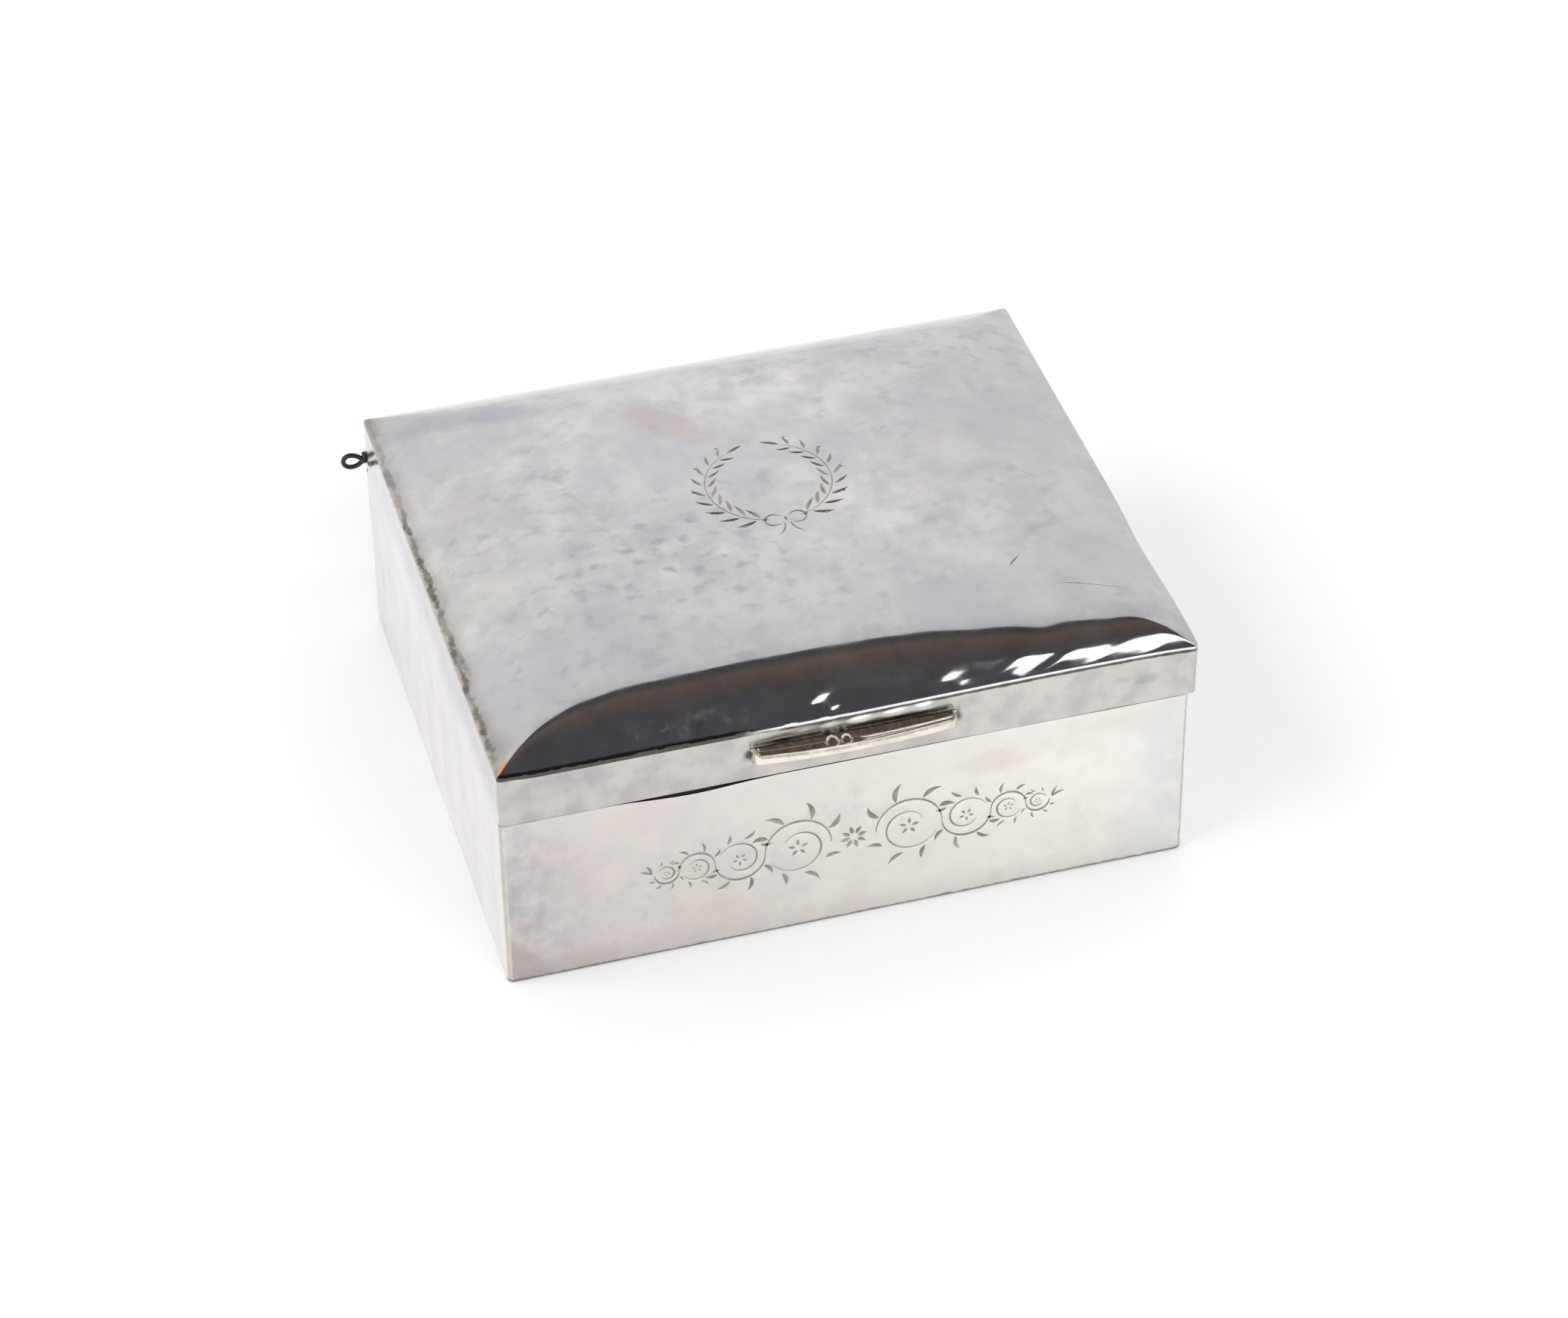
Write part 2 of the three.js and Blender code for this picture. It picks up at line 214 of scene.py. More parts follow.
def base_lift(x, y, z):
    """The rim of the base meets the lid, but for a stretch of the front where it is bent down."""
    gap = 0
    if y < BASE_LOW.y + WALL_ZONE:
        slit = 0.2 * ease(x, -56 * MM, -46 * MM) * (1 - ease(x, 0, 30 * MM))
        gap = slit + 0.95 * hump(x, -37 * MM, 12 * MM)
    elif x < BASE_LOW.x + WALL_ZONE:
        gap = 0.22 * (1 - ease(y, -68 * MM, -62 * MM))
    return (0.285 - gap) * MM * ease(z, BASE_HIGH.z - 8 * MM, BASE_HIGH.z - 0.4 * MM)


def base_marks(x, y, z):
    """Painted shade along the foot, a dark line for the table's shadow that its rounding would reflect,
    but for the left wall.
    """
    if x < BASE_LOW.x + WALL_ZONE and y > BASE_LOW.y + WALL_ZONE:
        return 0, 0, 0
    return 0, math.exp(-max(z - BASE_LOW.z - 0.4 * MM, 0) / (0.3 * MM)), 0


def bruise(y):
    """How far the right rim of the lid is knocked in."""
    return 0.6 * MM * hump(y, -34 * MM, 14 * MM)


def droop(x, y):
    """How far the rim of the lid sinks along its front and at the two front corners."""
    front = math.exp(-(y - DOME_LOW.y) / (6 * MM))
    left = 0.45 * math.exp(-(x - DOME_LOW.x) / (6 * MM))
    right = 0.8 * math.exp(-(DOME_HIGH.x - x) / (7 * MM))
    middle = 0.7 * ease(x, -82 * MM, -72 * MM) * (1 - ease(x, -10 * MM, 55 * MM))
    return front * (left + right + middle) * MM


# Dents in the lid's front above the thumb-piece: place along it, half length and strength.
DENTS = ((-10.5, 2.4, 0.3), (-4.8, 2.6, 0.55), (2.6, 3.0, 1.0), (10.7, 3.1, 1.0), (17.8, 2.4, 0.9))


def dented(x, z):
    """How far the lid's front is beaten in at a place, 0 to 1."""
    level = hump(z, RIM - 1.6 * MM, 1.1 * MM)
    return sum(strength * hump(x, at * MM, half * MM) * level for at, half, strength in DENTS)


def lid_push(x, y, z):
    front = 1 if y < 0 else 0.4
    out = front * (0.07 * MM * swell((x, y, z), 17, 3) + 0.045 * MM * swell((x, y, z), 7, 4))
    if y < DOME_LOW.y + WALL_ZONE:
        out -= 0.4 * MM * dented(x, z)
    if x > DOME_HIGH.x - WALL_ZONE:
        out -= bruise(y) * ease(z, LID_LOW.z, RIM)
    if x < DOME_LOW.x + WALL_ZONE:
        from_corners = min(y - DOME_LOW.y, DOME_HIGH.y - y)
        flare = 0.35 * MM * ease(from_corners, 1.5 * MM, 4 * MM)
        out += flare * (1 - ease(z, LID_LOW.z, LID_LOW.z + 9 * MM))
    return out


def lid_lift(x, y, z):
    return -droop(x, y) * ease(z, LID_LOW.z + 4 * MM, RIM)


def lid_marks(x, y, z):
    """Tarnish and painted shade round the ends of the thumb-piece, dark spots below it, a dark band just
    above it, a dark joint under the rim to the right, and bright dents above it, polished to paint their
    highlights.
    """
    if y > DOME_LOW.y + WALL_ZONE:
        return 0, 0, 0
    level = (THUMB_LOW.z + THUMB_HIGH.z) / 2
    grime_and_shade = 0
    # Tarnish and painted shade round the two ends of the bar.
    for side in (-1, 1):
        away = math.hypot(x - THUMB_X - side * THUMB_HALF, 0.8 * (z - level))
        grime_and_shade = max(grime_and_shade, 0.8 * hump(away, 0, 2.3 * MM))
    below = hump(z, THUMB_LOW.z - 1.2 * MM, 1.1 * MM)
    for at, width in ((-15, 3), (-9, 4), (2, 5), (13, 3), (19, 2.5)):
        grime_and_shade = max(grime_and_shade, 0.45 * hump(x, at * MM, width * MM) * below)
    top = THUMB_HIGH.z
    above = ease(z, top - 0.6 * MM, top) * (1 - ease(z, top + 1.2 * MM, top + 2.6 * MM))
    beside = 1 - ease(abs(x - THUMB_X), THUMB_HALF - 7 * MM, THUMB_HALF - 0.5 * MM)
    joint = math.exp(-max(RIM - SHEET - 0.2 * MM - z, 0) / (0.5 * MM))
    grime_and_shade = max(grime_and_shade, 0.95 * joint * ease(x, -24 * MM, -10 * MM))
    # The dents are polished pale, which paints their highlights.
    return 0, max(grime_and_shade, 0.62 * above * beside), min(dented(x, z), 1)


# Lid top

def roll(distance, half):
    return max(1 - abs(distance / half) ** ROLL_POWER, 0)


# Shallow tilts in the roll near the front rim: place along it, place in from it, half length and
# half breadth in mm, and the slopes to the right and to the front.
TILTS = (
    (-5.0, 2.6, 6.5, 2.2, 0.12, 0.02),
    (26.0, 2.2, 6.0, 2.0, 0.085, 0.02),
    (37.0, 2.2, 7.0, 1.8, 0.015, 0.01),
)


def scallop(x, inward):
    """Slanted waves beaten along the front rim, right of the thumb-piece, steeper on one side."""
    angle = 2 * math.pi * (x - 2.6 * inward - 29.3 * MM) / (13.8 * MM)
    height = 0.05 * MM * (1 - 0.5 * ease(x, 48 * MM, 62 * MM)) * hump(inward, 0, 4.5 * MM)
    ends = ease(x, 29 * MM, 36 * MM) * ease(DOME_HIGH.x - x, 2 * MM, 14 * MM)
    return height * ends * math.sin(angle + 0.75 * math.sin(angle))


def dome_height(x, y):
    """Height of the lid's top, with the unevenness of hand-raised sheet: the front falls off more
    tightly to the right, with soft waves, and dents along the rim."""
    across = roll(x - LID_CENTRE.x, LID_HALF.x)
    along = roll(y - LID_CENTRE.y, LID_HALF.y)
    rise = DOME_HIGH.z - RIM
    smooth = 0
    if across * along > 0:
        crisp = HIP_SHARPNESS + 4 * ease(x, 30 * MM, 75 * MM)
        mean = (across ** -crisp + along ** -crisp) / 2
        smooth = rise * mean ** (-1 / crisp)
    inward = y - DOME_LOW.y
    place = (x, y, 0)
    waves = 0.09 * MM * swell(place, 42, 5) + 0.05 * MM * swell((x, y * 0.5, 0), 20, 9)
    along_rim = 0.13 * MM * swell((x, 0, 0), 11, 10) + 0.05 * MM * swell((x, 0, 0), 5, 12)
    to_right = ease(x, 0, 45 * MM)
    waves += hump(inward, (9.5 + 4.5 * to_right) * MM, 6.5 * MM) * along_rim * (1 + to_right)
    lower = 1.6 * MM * ease(x, 8 * MM, 66 * MM) * ease(DOME_HIGH.x - x, 0, 16 * MM)
    smooth -= lower * (ease(inward, 3 * MM, 22 * MM) - ease(inward, 22 * MM, 64 * MM))
    uneven = 0.03 * MM * swell((x, y * 0.5, 0), 8, 7) + 0.02 * MM * swell(place, 4.5, 8)
    dents = hump(inward, 2.6 * MM, 2.6 * MM) * uneven
    dents += scallop(x, inward)
    for at, deep, half_x, half_y, side, front in TILTS:
        beside = x - at * MM
        behind = inward - deep * MM
        tilt = (front * behind - side * beside) * hump(beside, 0, half_x * MM)
        dents += tilt * hump(behind, 0, half_y * MM)
    settle = min(smooth / (1.2 * MM), 1)
    return RIM + smooth + settle * (waves + dents) - droop(x, y)


def spread(count, half):
    """Places from -half to half, closer together towards the ends."""
    steps = [2 * i / count - 1 for i in range(count + 1)]
    return [half * (0.5 * t + 0.5 * math.sin(t * math.pi / 2)) for t in steps]


def rounded_corner(x, y, half_x, half_y, radius):
    """Moves a point of a rectangle's corner square into its rounded corner."""
    dx = abs(x) - (half_x - radius)
    dy = abs(y) - (half_y - radius)
    if dx <= 0 or dy <= 0:
        return x, y
    shrink = max(dx, dy) / math.hypot(dx, dy)
    return (
        math.copysign(half_x - radius + dx * shrink, x),
        math.copysign(half_y - radius + dy * shrink, y),
    )


def rim_marks(x, y):
    """Wear, grime, and polish that paints a bright edge line, at a point of the lid's top, near its rim.
    """
    front = y - DOME_LOW.y
    wear = 0.8 * math.exp(-min(DOME_HIGH.x - x, DOME_HIGH.y - y) / (0.7 * MM))
    on_left = 1 - ease(x, -30 * MM, -14 * MM)
    grime_and_shade = math.exp(-max(front - 0.6 * MM, 0) / (0.3 * MM)) * on_left
    # Polish along the front rim but for its left part, which paints the rim's bright edge line.
    polish_and_glint = math.exp(-max(front - 0.05 * MM, 0) / (0.2 * MM)) * (1 - on_left)
    return wear, grime_and_shade, polish_and_glint


def lid_top(material):
    """The pillow-shaped sheet: its two faces and the rounded edge between them."""
    columns = 200
    rows = 218
    edge = 0.25 * MM
    edge_steps = 4
    slope = math.radians(34)
    turn = edge * (1 - math.sin(slope))
    half_x = LID_HALF.x - turn
    half_y = LID_HALF.y - turn
    plan = []
    for y in spread(rows, half_y):
        for x in spread(columns, half_x):
            plan.append(rounded_corner(x, y, half_x, half_y, CORNER_RADIUS - turn))
    width = columns + 1

    def knocked(x, y):
        right = LID_CENTRE.x + half_x
        return x - bruise(y) * ease(x, right - 9 * MM, right)

    points, marks = [], []
    for x, y in plan:
        px = LID_CENTRE.x + x
        py = LID_CENTRE.y + y
        points.append((knocked(px, py), py, dome_height(px, py)))
        marks.append(rim_marks(px, py))
    inner_x = (LID_HALF.x - SHEET) / half_x
    inner_y = (LID_HALF.y - SHEET) / half_y
    for (x, y), (_, _, z) in zip(plan, list(points)):
        px = LID_CENTRE.x + x * inner_x
        py = LID_CENTRE.y + y * inner_y
        points.append((knocked(px, py), py, z - SHEET))
        marks.append((0, 0, 0))
    faces = lattice(rows + 1, width, False, False)
    layer = len(plan)
    faces += [tuple(n + layer for n in reversed(face)) for face in faces]
    rim = list(range(columns)) + [j * width + columns for j in range(rows)]
    rim += [rows * width + i for i in range(columns, 0, -1)] + [j * width for j in range(rows, 0, -1)]
    rings = [rim]
    steps = []
    for i in range(1, edge_steps + 1):
        a = slope + (math.pi / 2 - slope) * i / edge_steps
        steps.append((edge * (math.sin(a) - math.sin(slope)), edge * (math.cos(slope) - math.cos(a))))
    for out, drop in steps + [(turn, None), (turn - SHEET, None)]:
        ring = []
        for n in rim:
            x, y = plan[n]
            dx = max(abs(x) - (half_x - CORNER_RADIUS + turn), 0)
            dy = max(abs(y) - (half_y - CORNER_RADIUS + turn), 0)
            length = math.hypot(dx, dy)
            nx = math.copysign(dx / length, x)
            ny = math.copysign(dy / length, y)
            px, py, pz = points[n]
            back = 0.16 * MM * max(swell((px, py, pz), 2.2, 14), 0) if x < 0 else 0
            z = RIM - SHEET - droop(px, py) if drop is None else pz - drop
            ring.append(len(points))
            points.append((px + nx * (out - back), py + ny * (out - back), z))
            wear, grime_and_shade, polish_and_glint = rim_marks(px, py)
            marks.append((wear, max(grime_and_shade, polish_and_glint), 0) if drop is None else (wear, grime_and_shade, polish_and_glint))
        rings.append(ring)
    rings.append([n + layer for n in rim])
    for near, far in zip(rings, rings[1:]):
        for i in range(len(rim)):
            k = (i + 1) % len(rim)
            faces.append((near[i], near[k], far[k], far[i]))
    names = dict(zip(("wear", "grime_and_shade", "polish_and_glint"), zip(*marks)))
    return add_piece("lid_top", points, faces, material, "lid", ["lid_dome"], SHEET_SHARP, names)


# Engraving

# The middles of the two designs.
FRIEZE_X = 1 * MM
FRIEZE_Z = 24 * MM
WREATH_X = 3 * MM
WREATH_Y = 5.5 * MM


def around(centre, radius, angle):
    """A place on a circle, at an angle in degrees."""
    a = math.radians(angle)
    return centre[0] + radius * math.cos(a), centre[1] + radius * math.sin(a)


def leaf(start, heading, length, width, bend=0.0, count=12):
    """A leaf in one cut: places in the plane in mm, each with the cut's breadth. Angles in degrees."""
    strokes = []
    x, y = start
    for i in range(count + 1):
        s = i / count
        a = math.radians(heading + bend * (s - 0.5))
        strokes.append((x, y, width * max(math.sin(math.pi * s ** 0.8), 0.1)))
        x += math.cos(a) * length / count
        y += math.sin(a) * length / count
    return strokes


def arc(centre, radius, start, end, thin, thick, count):
    """A cut along an arc that swells in the middle. The radius may be a pair, for start and end."""
    first, last = radius if isinstance(radius, tuple) else (radius, radius)
    strokes = []
    for i in range(count + 1):
        s = i / count
        r = first + (last - first) * s
        swelling = thin + (thick - thin) * math.sin(math.pi * s)
        strokes.append((*around(centre, r, start + (end - start) * s), swelling))
    return strokes


def wreath():
    """Two laurel branches tied with a bow, round the origin, in mm."""
    cuts = []
    middle = (0, 0)
    radius = 15.2
    for side in (-1, 1):
        branch = [arc(middle, radius, -76, 62, 0.14, 0.34, 40)]
        for i in range(9):
            angle = -67 + 15 * i
            size = 1 - 0.035 * i
            for turn in (-1, 1):
                start = around(middle, radius - 0.55 * turn, angle + (3 if turn < 0 else 0))
                heading = angle + 90 + turn * 34
                branch.append(leaf(start, heading, 5.2 * size, 1.05 * size, -turn * 26))
            if i % 2 == 0:
                berry = around(middle, radius + 2.9, angle + math.degrees(0.17))
                branch.append(leaf(berry, angle, 0.7, 0.6, 0, 6))
        tip = 64.5
        branch.append(leaf(around(middle, radius, tip), tip + 90, 5.0, 0.95, 20))
        foot = -radius
        branch.append(arc((2.9, foot + 0.2), 2.1, 155, -125, 0.16, 0.5, 28))
        branch.append(leaf((0.75, foot - 1.3), -58, 5.4, 0.5, 62, 16))
        cuts += [[(side * x, y, w) for x, y, w in cut] for cut in branch]
    cuts.append(leaf((0, -radius + 1.0), -90, 1.8, 0.7, 0, 8))
    return cuts


def flower(centre, radius, petals):
    """Petals round a place."""
    cuts = []
    for i in range(petals):
        turn = 360 * i / petals + 15
        start = around(centre, 0.3 * radius, turn)
        cuts.append(leaf(start, turn, 0.7 * radius, 0.32 * radius, 0, 8))
    return cuts


def scrolls():
    """Foliage that runs out from the middle in scrolls which grow smaller, in mm round the origin."""
    cuts = flower((0, 0), 3.4, 8)
    for side in (-1, 1):
        half, stem = [], []
        at, up = 5.4, 1
        for k, r in enumerate((8.0, 6.0, 4.3, 2.9)):
            centre = at + r
            bow = arc((centre, 0), r, 180, 0, 0.22, 0.62, 36)
            stem += [(x, up * y, w) for x, y, w in (bow if k == 0 else bow[1:])]
            sprig = [arc((centre, 0), (r - 0.7, 0.46 * r), -24, -330, 0.12, 0.5, 60)]
            sprig += flower((centre, 0), 0.32 * r, 5)
            for angle, lean, size in ((150, 62, 0.62), (112, 52, 0.74), (66, 50, 0.66), (30, 56, 0.5)):
                start = around((centre, 0), r + 0.45, angle)
                sprig.append(leaf(start, angle - 90 + lean, size * r, 0.17 * r, -70))
            for angle, size in ((-60, 0.5), (-100, 0.6), (-145, 0.5)):
                start = around((centre, 0), r, angle)
                sprig.append(leaf(start, angle - 40, size * r, 0.14 * r, 60))
            half += [[(x, up * y, w) for x, y, w in cut] for cut in sprig]
            at += 2 * r
            up = -up
        half.append(stem)
        for heading in (20, 62):
            half.append(leaf((at + 0.6, up * 0.5), up * heading, 3.4, 0.7, up * -40))
        cuts += [[(side * x, y, w) for x, y, w in cut] for cut in half]
    return cuts


def scratches():
    """A nick and a long scratch at the right of the lid, in mm round the middle of the wreath."""
    return [leaf((45.3, -45.6), 44, 5.3, 0.55), leaf((54.3, -53.2), -11.5, 18.6, 0.2, 0, 30)]


def engrave(piece, cuts, surface, material, sharp):
    """Cuts V-shaped grooves into a piece. surface(u, v) is a place on it and its direction out."""
    points, faces = [], []
    above = 0.12 * MM
    for cut in cuts:
        spots = [surface(u * MM, v * MM) for u, v, _ in cut]
        first = len(points)
        for i, ((place, out), (_, _, width)) in enumerate(zip(spots, cut)):
            ahead = spots[min(i + 1, len(spots) - 1)][0] - spots[max(i - 1, 0)][0]
            aside = out.cross(ahead).normalized()
            depth = max(0.26 * width, 0.035) * MM
            half = width * MM / 2 * (1 + above / depth)
            over = place + out * above
            points += [over + aside * half, place - out * depth, over - aside * half]
        last = len(points) - 3
        faces += [tuple(first + n for n in face) for face in lattice(len(cut), 3, False, True)]
        faces += [(first, first + 1, first + 2), (last + 2, last + 1, last)]
    mesh = bpy.data.meshes.new("cuts")
    mesh.from_pydata(points, [], faces)
    mesh.materials.append(material)
    face_out(mesh)
    tool = bpy.data.objects.new("cuts", mesh)
    scene.collection.objects.link(tool)
    step = piece.modifiers.new("cuts", "BOOLEAN")
    step.operation = "DIFFERENCE"
    step.solver = "MANIFOLD"
    step.material_mode = "TRANSFER"
    step.object = tool
    graph = bpy.context.evaluated_depsgraph_get()
    cut_mesh = bpy.data.meshes.new_from_object(piece.evaluated_get(graph))
    piece.modifiers.clear()
    piece.data = cut_mesh
    cut_mesh.shade_smooth()
    cut_mesh.set_sharp_from_angle(angle=math.radians(sharp))
    bpy.data.objects.remove(tool)


def front_surface(u, v):
    """A place on the front of the base, with its direction outwards."""
    x = FRIEZE_X + u
    z = FRIEZE_Z + v
    return Vector((x, BASE_LOW.y - base_push(x, BASE_LOW.y, z), z)), Vector((0, -1, 0))


def lid_surface(u, v):
    """A place on the lid's top, with its direction outwards."""
    x = WREATH_X + u
    y = WREATH_Y + v
    step = 0.5 * MM
    slope_x = (dome_height(x + step, y) - dome_height(x - step, y)) / (2 * step)
    slope_y = (dome_height(x, y + step) - dome_height(x, y - step)) / (2 * step)
    return Vector((x, y, dome_height(x, y))), Vector((-slope_x, -slope_y, 1)).normalized()


# Thumb-piece

def thumb_reach(x):
    """How far the bar stands out at x from its middle."""
    reach = THUMB_HIGH.y - THUMB_LOW.y
    out = THUMB_END_REACH + 0.72 * (reach - THUMB_END_REACH) * (1 - (x / THUMB_HALF) ** 2)
    into_end = max(abs(x) - (THUMB_HALF - THUMB_END_RADIUS), 0) / THUMB_END_RADIUS
    return out * math.sqrt(max(1 - into_end ** 2.2, 0.002))


def thumb_top(x, q, out):
    """Height of the bar's top and how tarnished it is: two lanes that fall to the front with a ridge
    between, a lip round the edge, and two ringed pits as a tie."""
    fall = math.tan(math.radians(22))
    on_right = ease(x, -3 * MM, 4 * MM)
    share = q / out
    to_end = THUMB_HALF - abs(x)
    ridge = 0.44 + 0.1 * on_right
    if share < ridge:
        height = -fall * share * out
    else:
        height = -0.06 * out - fall * (1 - 0.5 * on_right) * max(share - ridge - 0.05, 0) * out
        height -= 0.35 * MM * on_right * ease(share, ridge + 0.05, ridge + 0.13)
    height *= ease(to_end, 0.8 * MM, 2.0 * MM)
    crest = hump(share, ridge + 0.025 + 0.05 * on_right, 0.045 + 0.03 * on_right)
    lip_place = (0.32 + 0.1 * on_right) * MM
    lip_width = (0.17 + 0.1 * on_right) * MM
    lip = hump(min(out - q, to_end), lip_place, lip_width) * ease(share, 0.1, 0.3)
    height += (-0.4 * MM - height) * lip
    tarnish = (1 - 0.8 * lip) * (1 - crest)
    for at, radius in ((-5.7, 1.5), (-2.4, 1.25)):
        away = math.hypot(x - at * MM, q - 0.5 * out) / (radius * MM)
        inside = 1 - ease(away, 1.0, 1.25)
        ring = hump(away, 0.95, 0.13)
        pit = -0.75 * MM - fall * (q - 0.5 * out) + 0.4 * MM * ring
        height += (pit - height) * inside
        tarnish += (1 - 0.6 * ring - tarnish) * inside
    soft = 0.2 * MM
    edge = min(max(out - q, 0), soft)
    height -= soft - math.sqrt(soft ** 2 - (soft - edge) ** 2)
    end = min(max(to_end, 0) / (0.7 * MM), 1)
    height -= 0.5 * MM * (1 - math.sqrt(1 - (1 - end) ** 2))
    tarnish *= ease(to_end, 0.5 * MM, 1.3 * MM)
    return THUMB_HIGH.z + height - 0.05 * MM, tarnish


def thumb_piece(material):
    """The long bar on the front of the lid: bowed to the front, round at its ends and slanted below."""
    slant = math.tan(math.radians(10))
    run_steps = 26
    tip_steps = 14
    rows = 46
    middle = [i * 0.14 * MM for i in range(56)]
    start = middle[-1]
    length = THUMB_HALF - THUMB_END_RADIUS - start
    run = [start + length * i / run_steps for i in range(1, run_steps + 1)]
    turn = [math.pi / 2 * i / tip_steps for i in range(1, tip_steps + 1)]
    tip = [THUMB_HALF - THUMB_END_RADIUS * math.cos(a) for a in turn]
    right = middle + run + tip
    xs = [-x for x in reversed(right[1:])] + right
    shares = [1 - (1 - i / rows) ** 1.2 for i in range(rows + 1)]
    points, stain = [], []
    for x in xs:
        out = thumb_reach(x)
        spots = [(out * s, *thumb_top(x, out * s, out)) for s in shares]
        top = [(q, z) for q, z, _ in spots]
        brow = top[-1][1]
        foot = min(THUMB_LOW.z + out * slant, brow - 0.5 * MM)
        face = [(out, brow + (foot + 0.2 * MM - brow) * i / 4) for i in range(1, 5)]
        under = [(out - 0.06 * MM, foot + 0.06 * MM), (out - 0.2 * MM, foot - 0.02 * MM)]
        for i in range(5):
            inner = 1 - i / 4
            under.append((out * inner * 0.9, THUMB_LOW.z + out * 0.9 * inner * slant))
        if out < 1.2 * MM:
            under = [(max(a, 0), min(b, foot + 0.1 * MM)) for a, b in under]
        points += [(THUMB_X + x, THUMB_HIGH.y - a, b) for a, b in top + face + under]
        stain += [tarnish for _, _, tarnish in spots] + [0] * len(face + under)
    columns = len(points) // len(xs)
    faces = lattice(len(xs), columns, False, True)
    last = (len(xs) - 1) * columns
    faces += [tuple(range(columns)), tuple(last + n for n in reversed(range(columns)))]
    marks = {"grime_and_shade": stain}
    return add_piece("thumb_bar", points, faces, material, "lid", ["thumb_piece"], 60, marks)


# Hinge

def knuckle_piece(node, body, material):
    """A run of tube with softened ends."""
    low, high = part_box(node)
    outer = (high.z - low.z) / 2
    soft = 0.18 * MM
    section = [
        (low.x + soft, outer),
        (high.x - soft, outer),
        (high.x - 0.3 * soft, outer - 0.3 * soft),
        (high.x, outer - soft),
        (high.x, KNUCKLE_BORE + soft),
        (high.x - soft, KNUCKLE_BORE),
        (low.x + soft, KNUCKLE_BORE),
        (low.x, KNUCKLE_BORE + soft),
        (low.x, outer - soft),
        (low.x + 0.3 * soft, outer - 0.3 * soft),
    ]
    sides = 40
    points = []
    for i in range(sides):
        a = 2 * math.pi * i / sides
        points += [(x, HINGE.y + r * math.cos(a), HINGE.z + r * math.sin(a)) for x, r in section]
    faces = lattice(sides, len(section), True, True)
    return add_piece(node + "_tube", points, faces, material, body, [node], 35)


def wire(path, radius, sides):
    """Points of a round wire along a path, and its faces."""
    points = []
    across = Vector((0, 0, 1))
    for i, place in enumerate(path):
        ahead = (path[min(i + 1, len(path) - 1)] - path[max(i - 1, 0)]).normalized()
        across = (across - ahead * across.dot(ahead)).normalized()
        other = ahead.cross(across)
        for k in range(sides):
            a = 2 * math.pi * k / sides
            points.append(place + radius * (math.cos(a) * across + math.sin(a) * other))
    faces = lattice(len(path), sides, False, True)
    last = (len(path) - 1) * sides
    faces += [tuple(range(sides)), tuple(last + k for k in reversed(range(sides)))]
    return points, faces


def hinge_pin(material):
    """The wire through the barrel, bent at the left into an eye whose tail crosses in front."""
    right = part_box("hinge_pin")[1].x
    neck = 0.5 * MM
    left = KNUCKLE_LOW.x - neck
    straight_steps = 40
    path = []
    for i in range(straight_steps):
        path.append(Vector((right + (left - right) * i / straight_steps, HINGE.y, HINGE.z)))
    length = 5.2 * MM
    height = 4.6 * MM
    fullest = 0.862
    lift = 0.7 * MM
    overlap = 1.6 * MM
    eye_steps = 60
    for i in range(1, eye_steps):
        t = 2 * math.pi * (0.02 + 0.955 * i / eye_steps)
        aside = overlap * ease(t, math.pi / 2, 1.5 * math.pi)
        out = length * (1 - math.cos(t)) / 2
        loop = -height * math.sin(t) * math.sqrt(math.sin(t / 2)) / (2 * fullest)
        up = loop + lift * out / length
        path.append(Vector((left - out, HINGE.y - aside, HINGE.z + up)))
    tail = 2.9 * MM
    tail_steps = 8
    for i in range(tail_steps):
        path.append(path[-1] + Vector((0, -0.06 * MM, tail / tail_steps)))
    points, faces = wire(path, WIRE_RADIUS, 20)
    return add_piece("hinge_wire", points, faces, material, "hinge_pin", ["hinge_pin"], 50)


# Materials

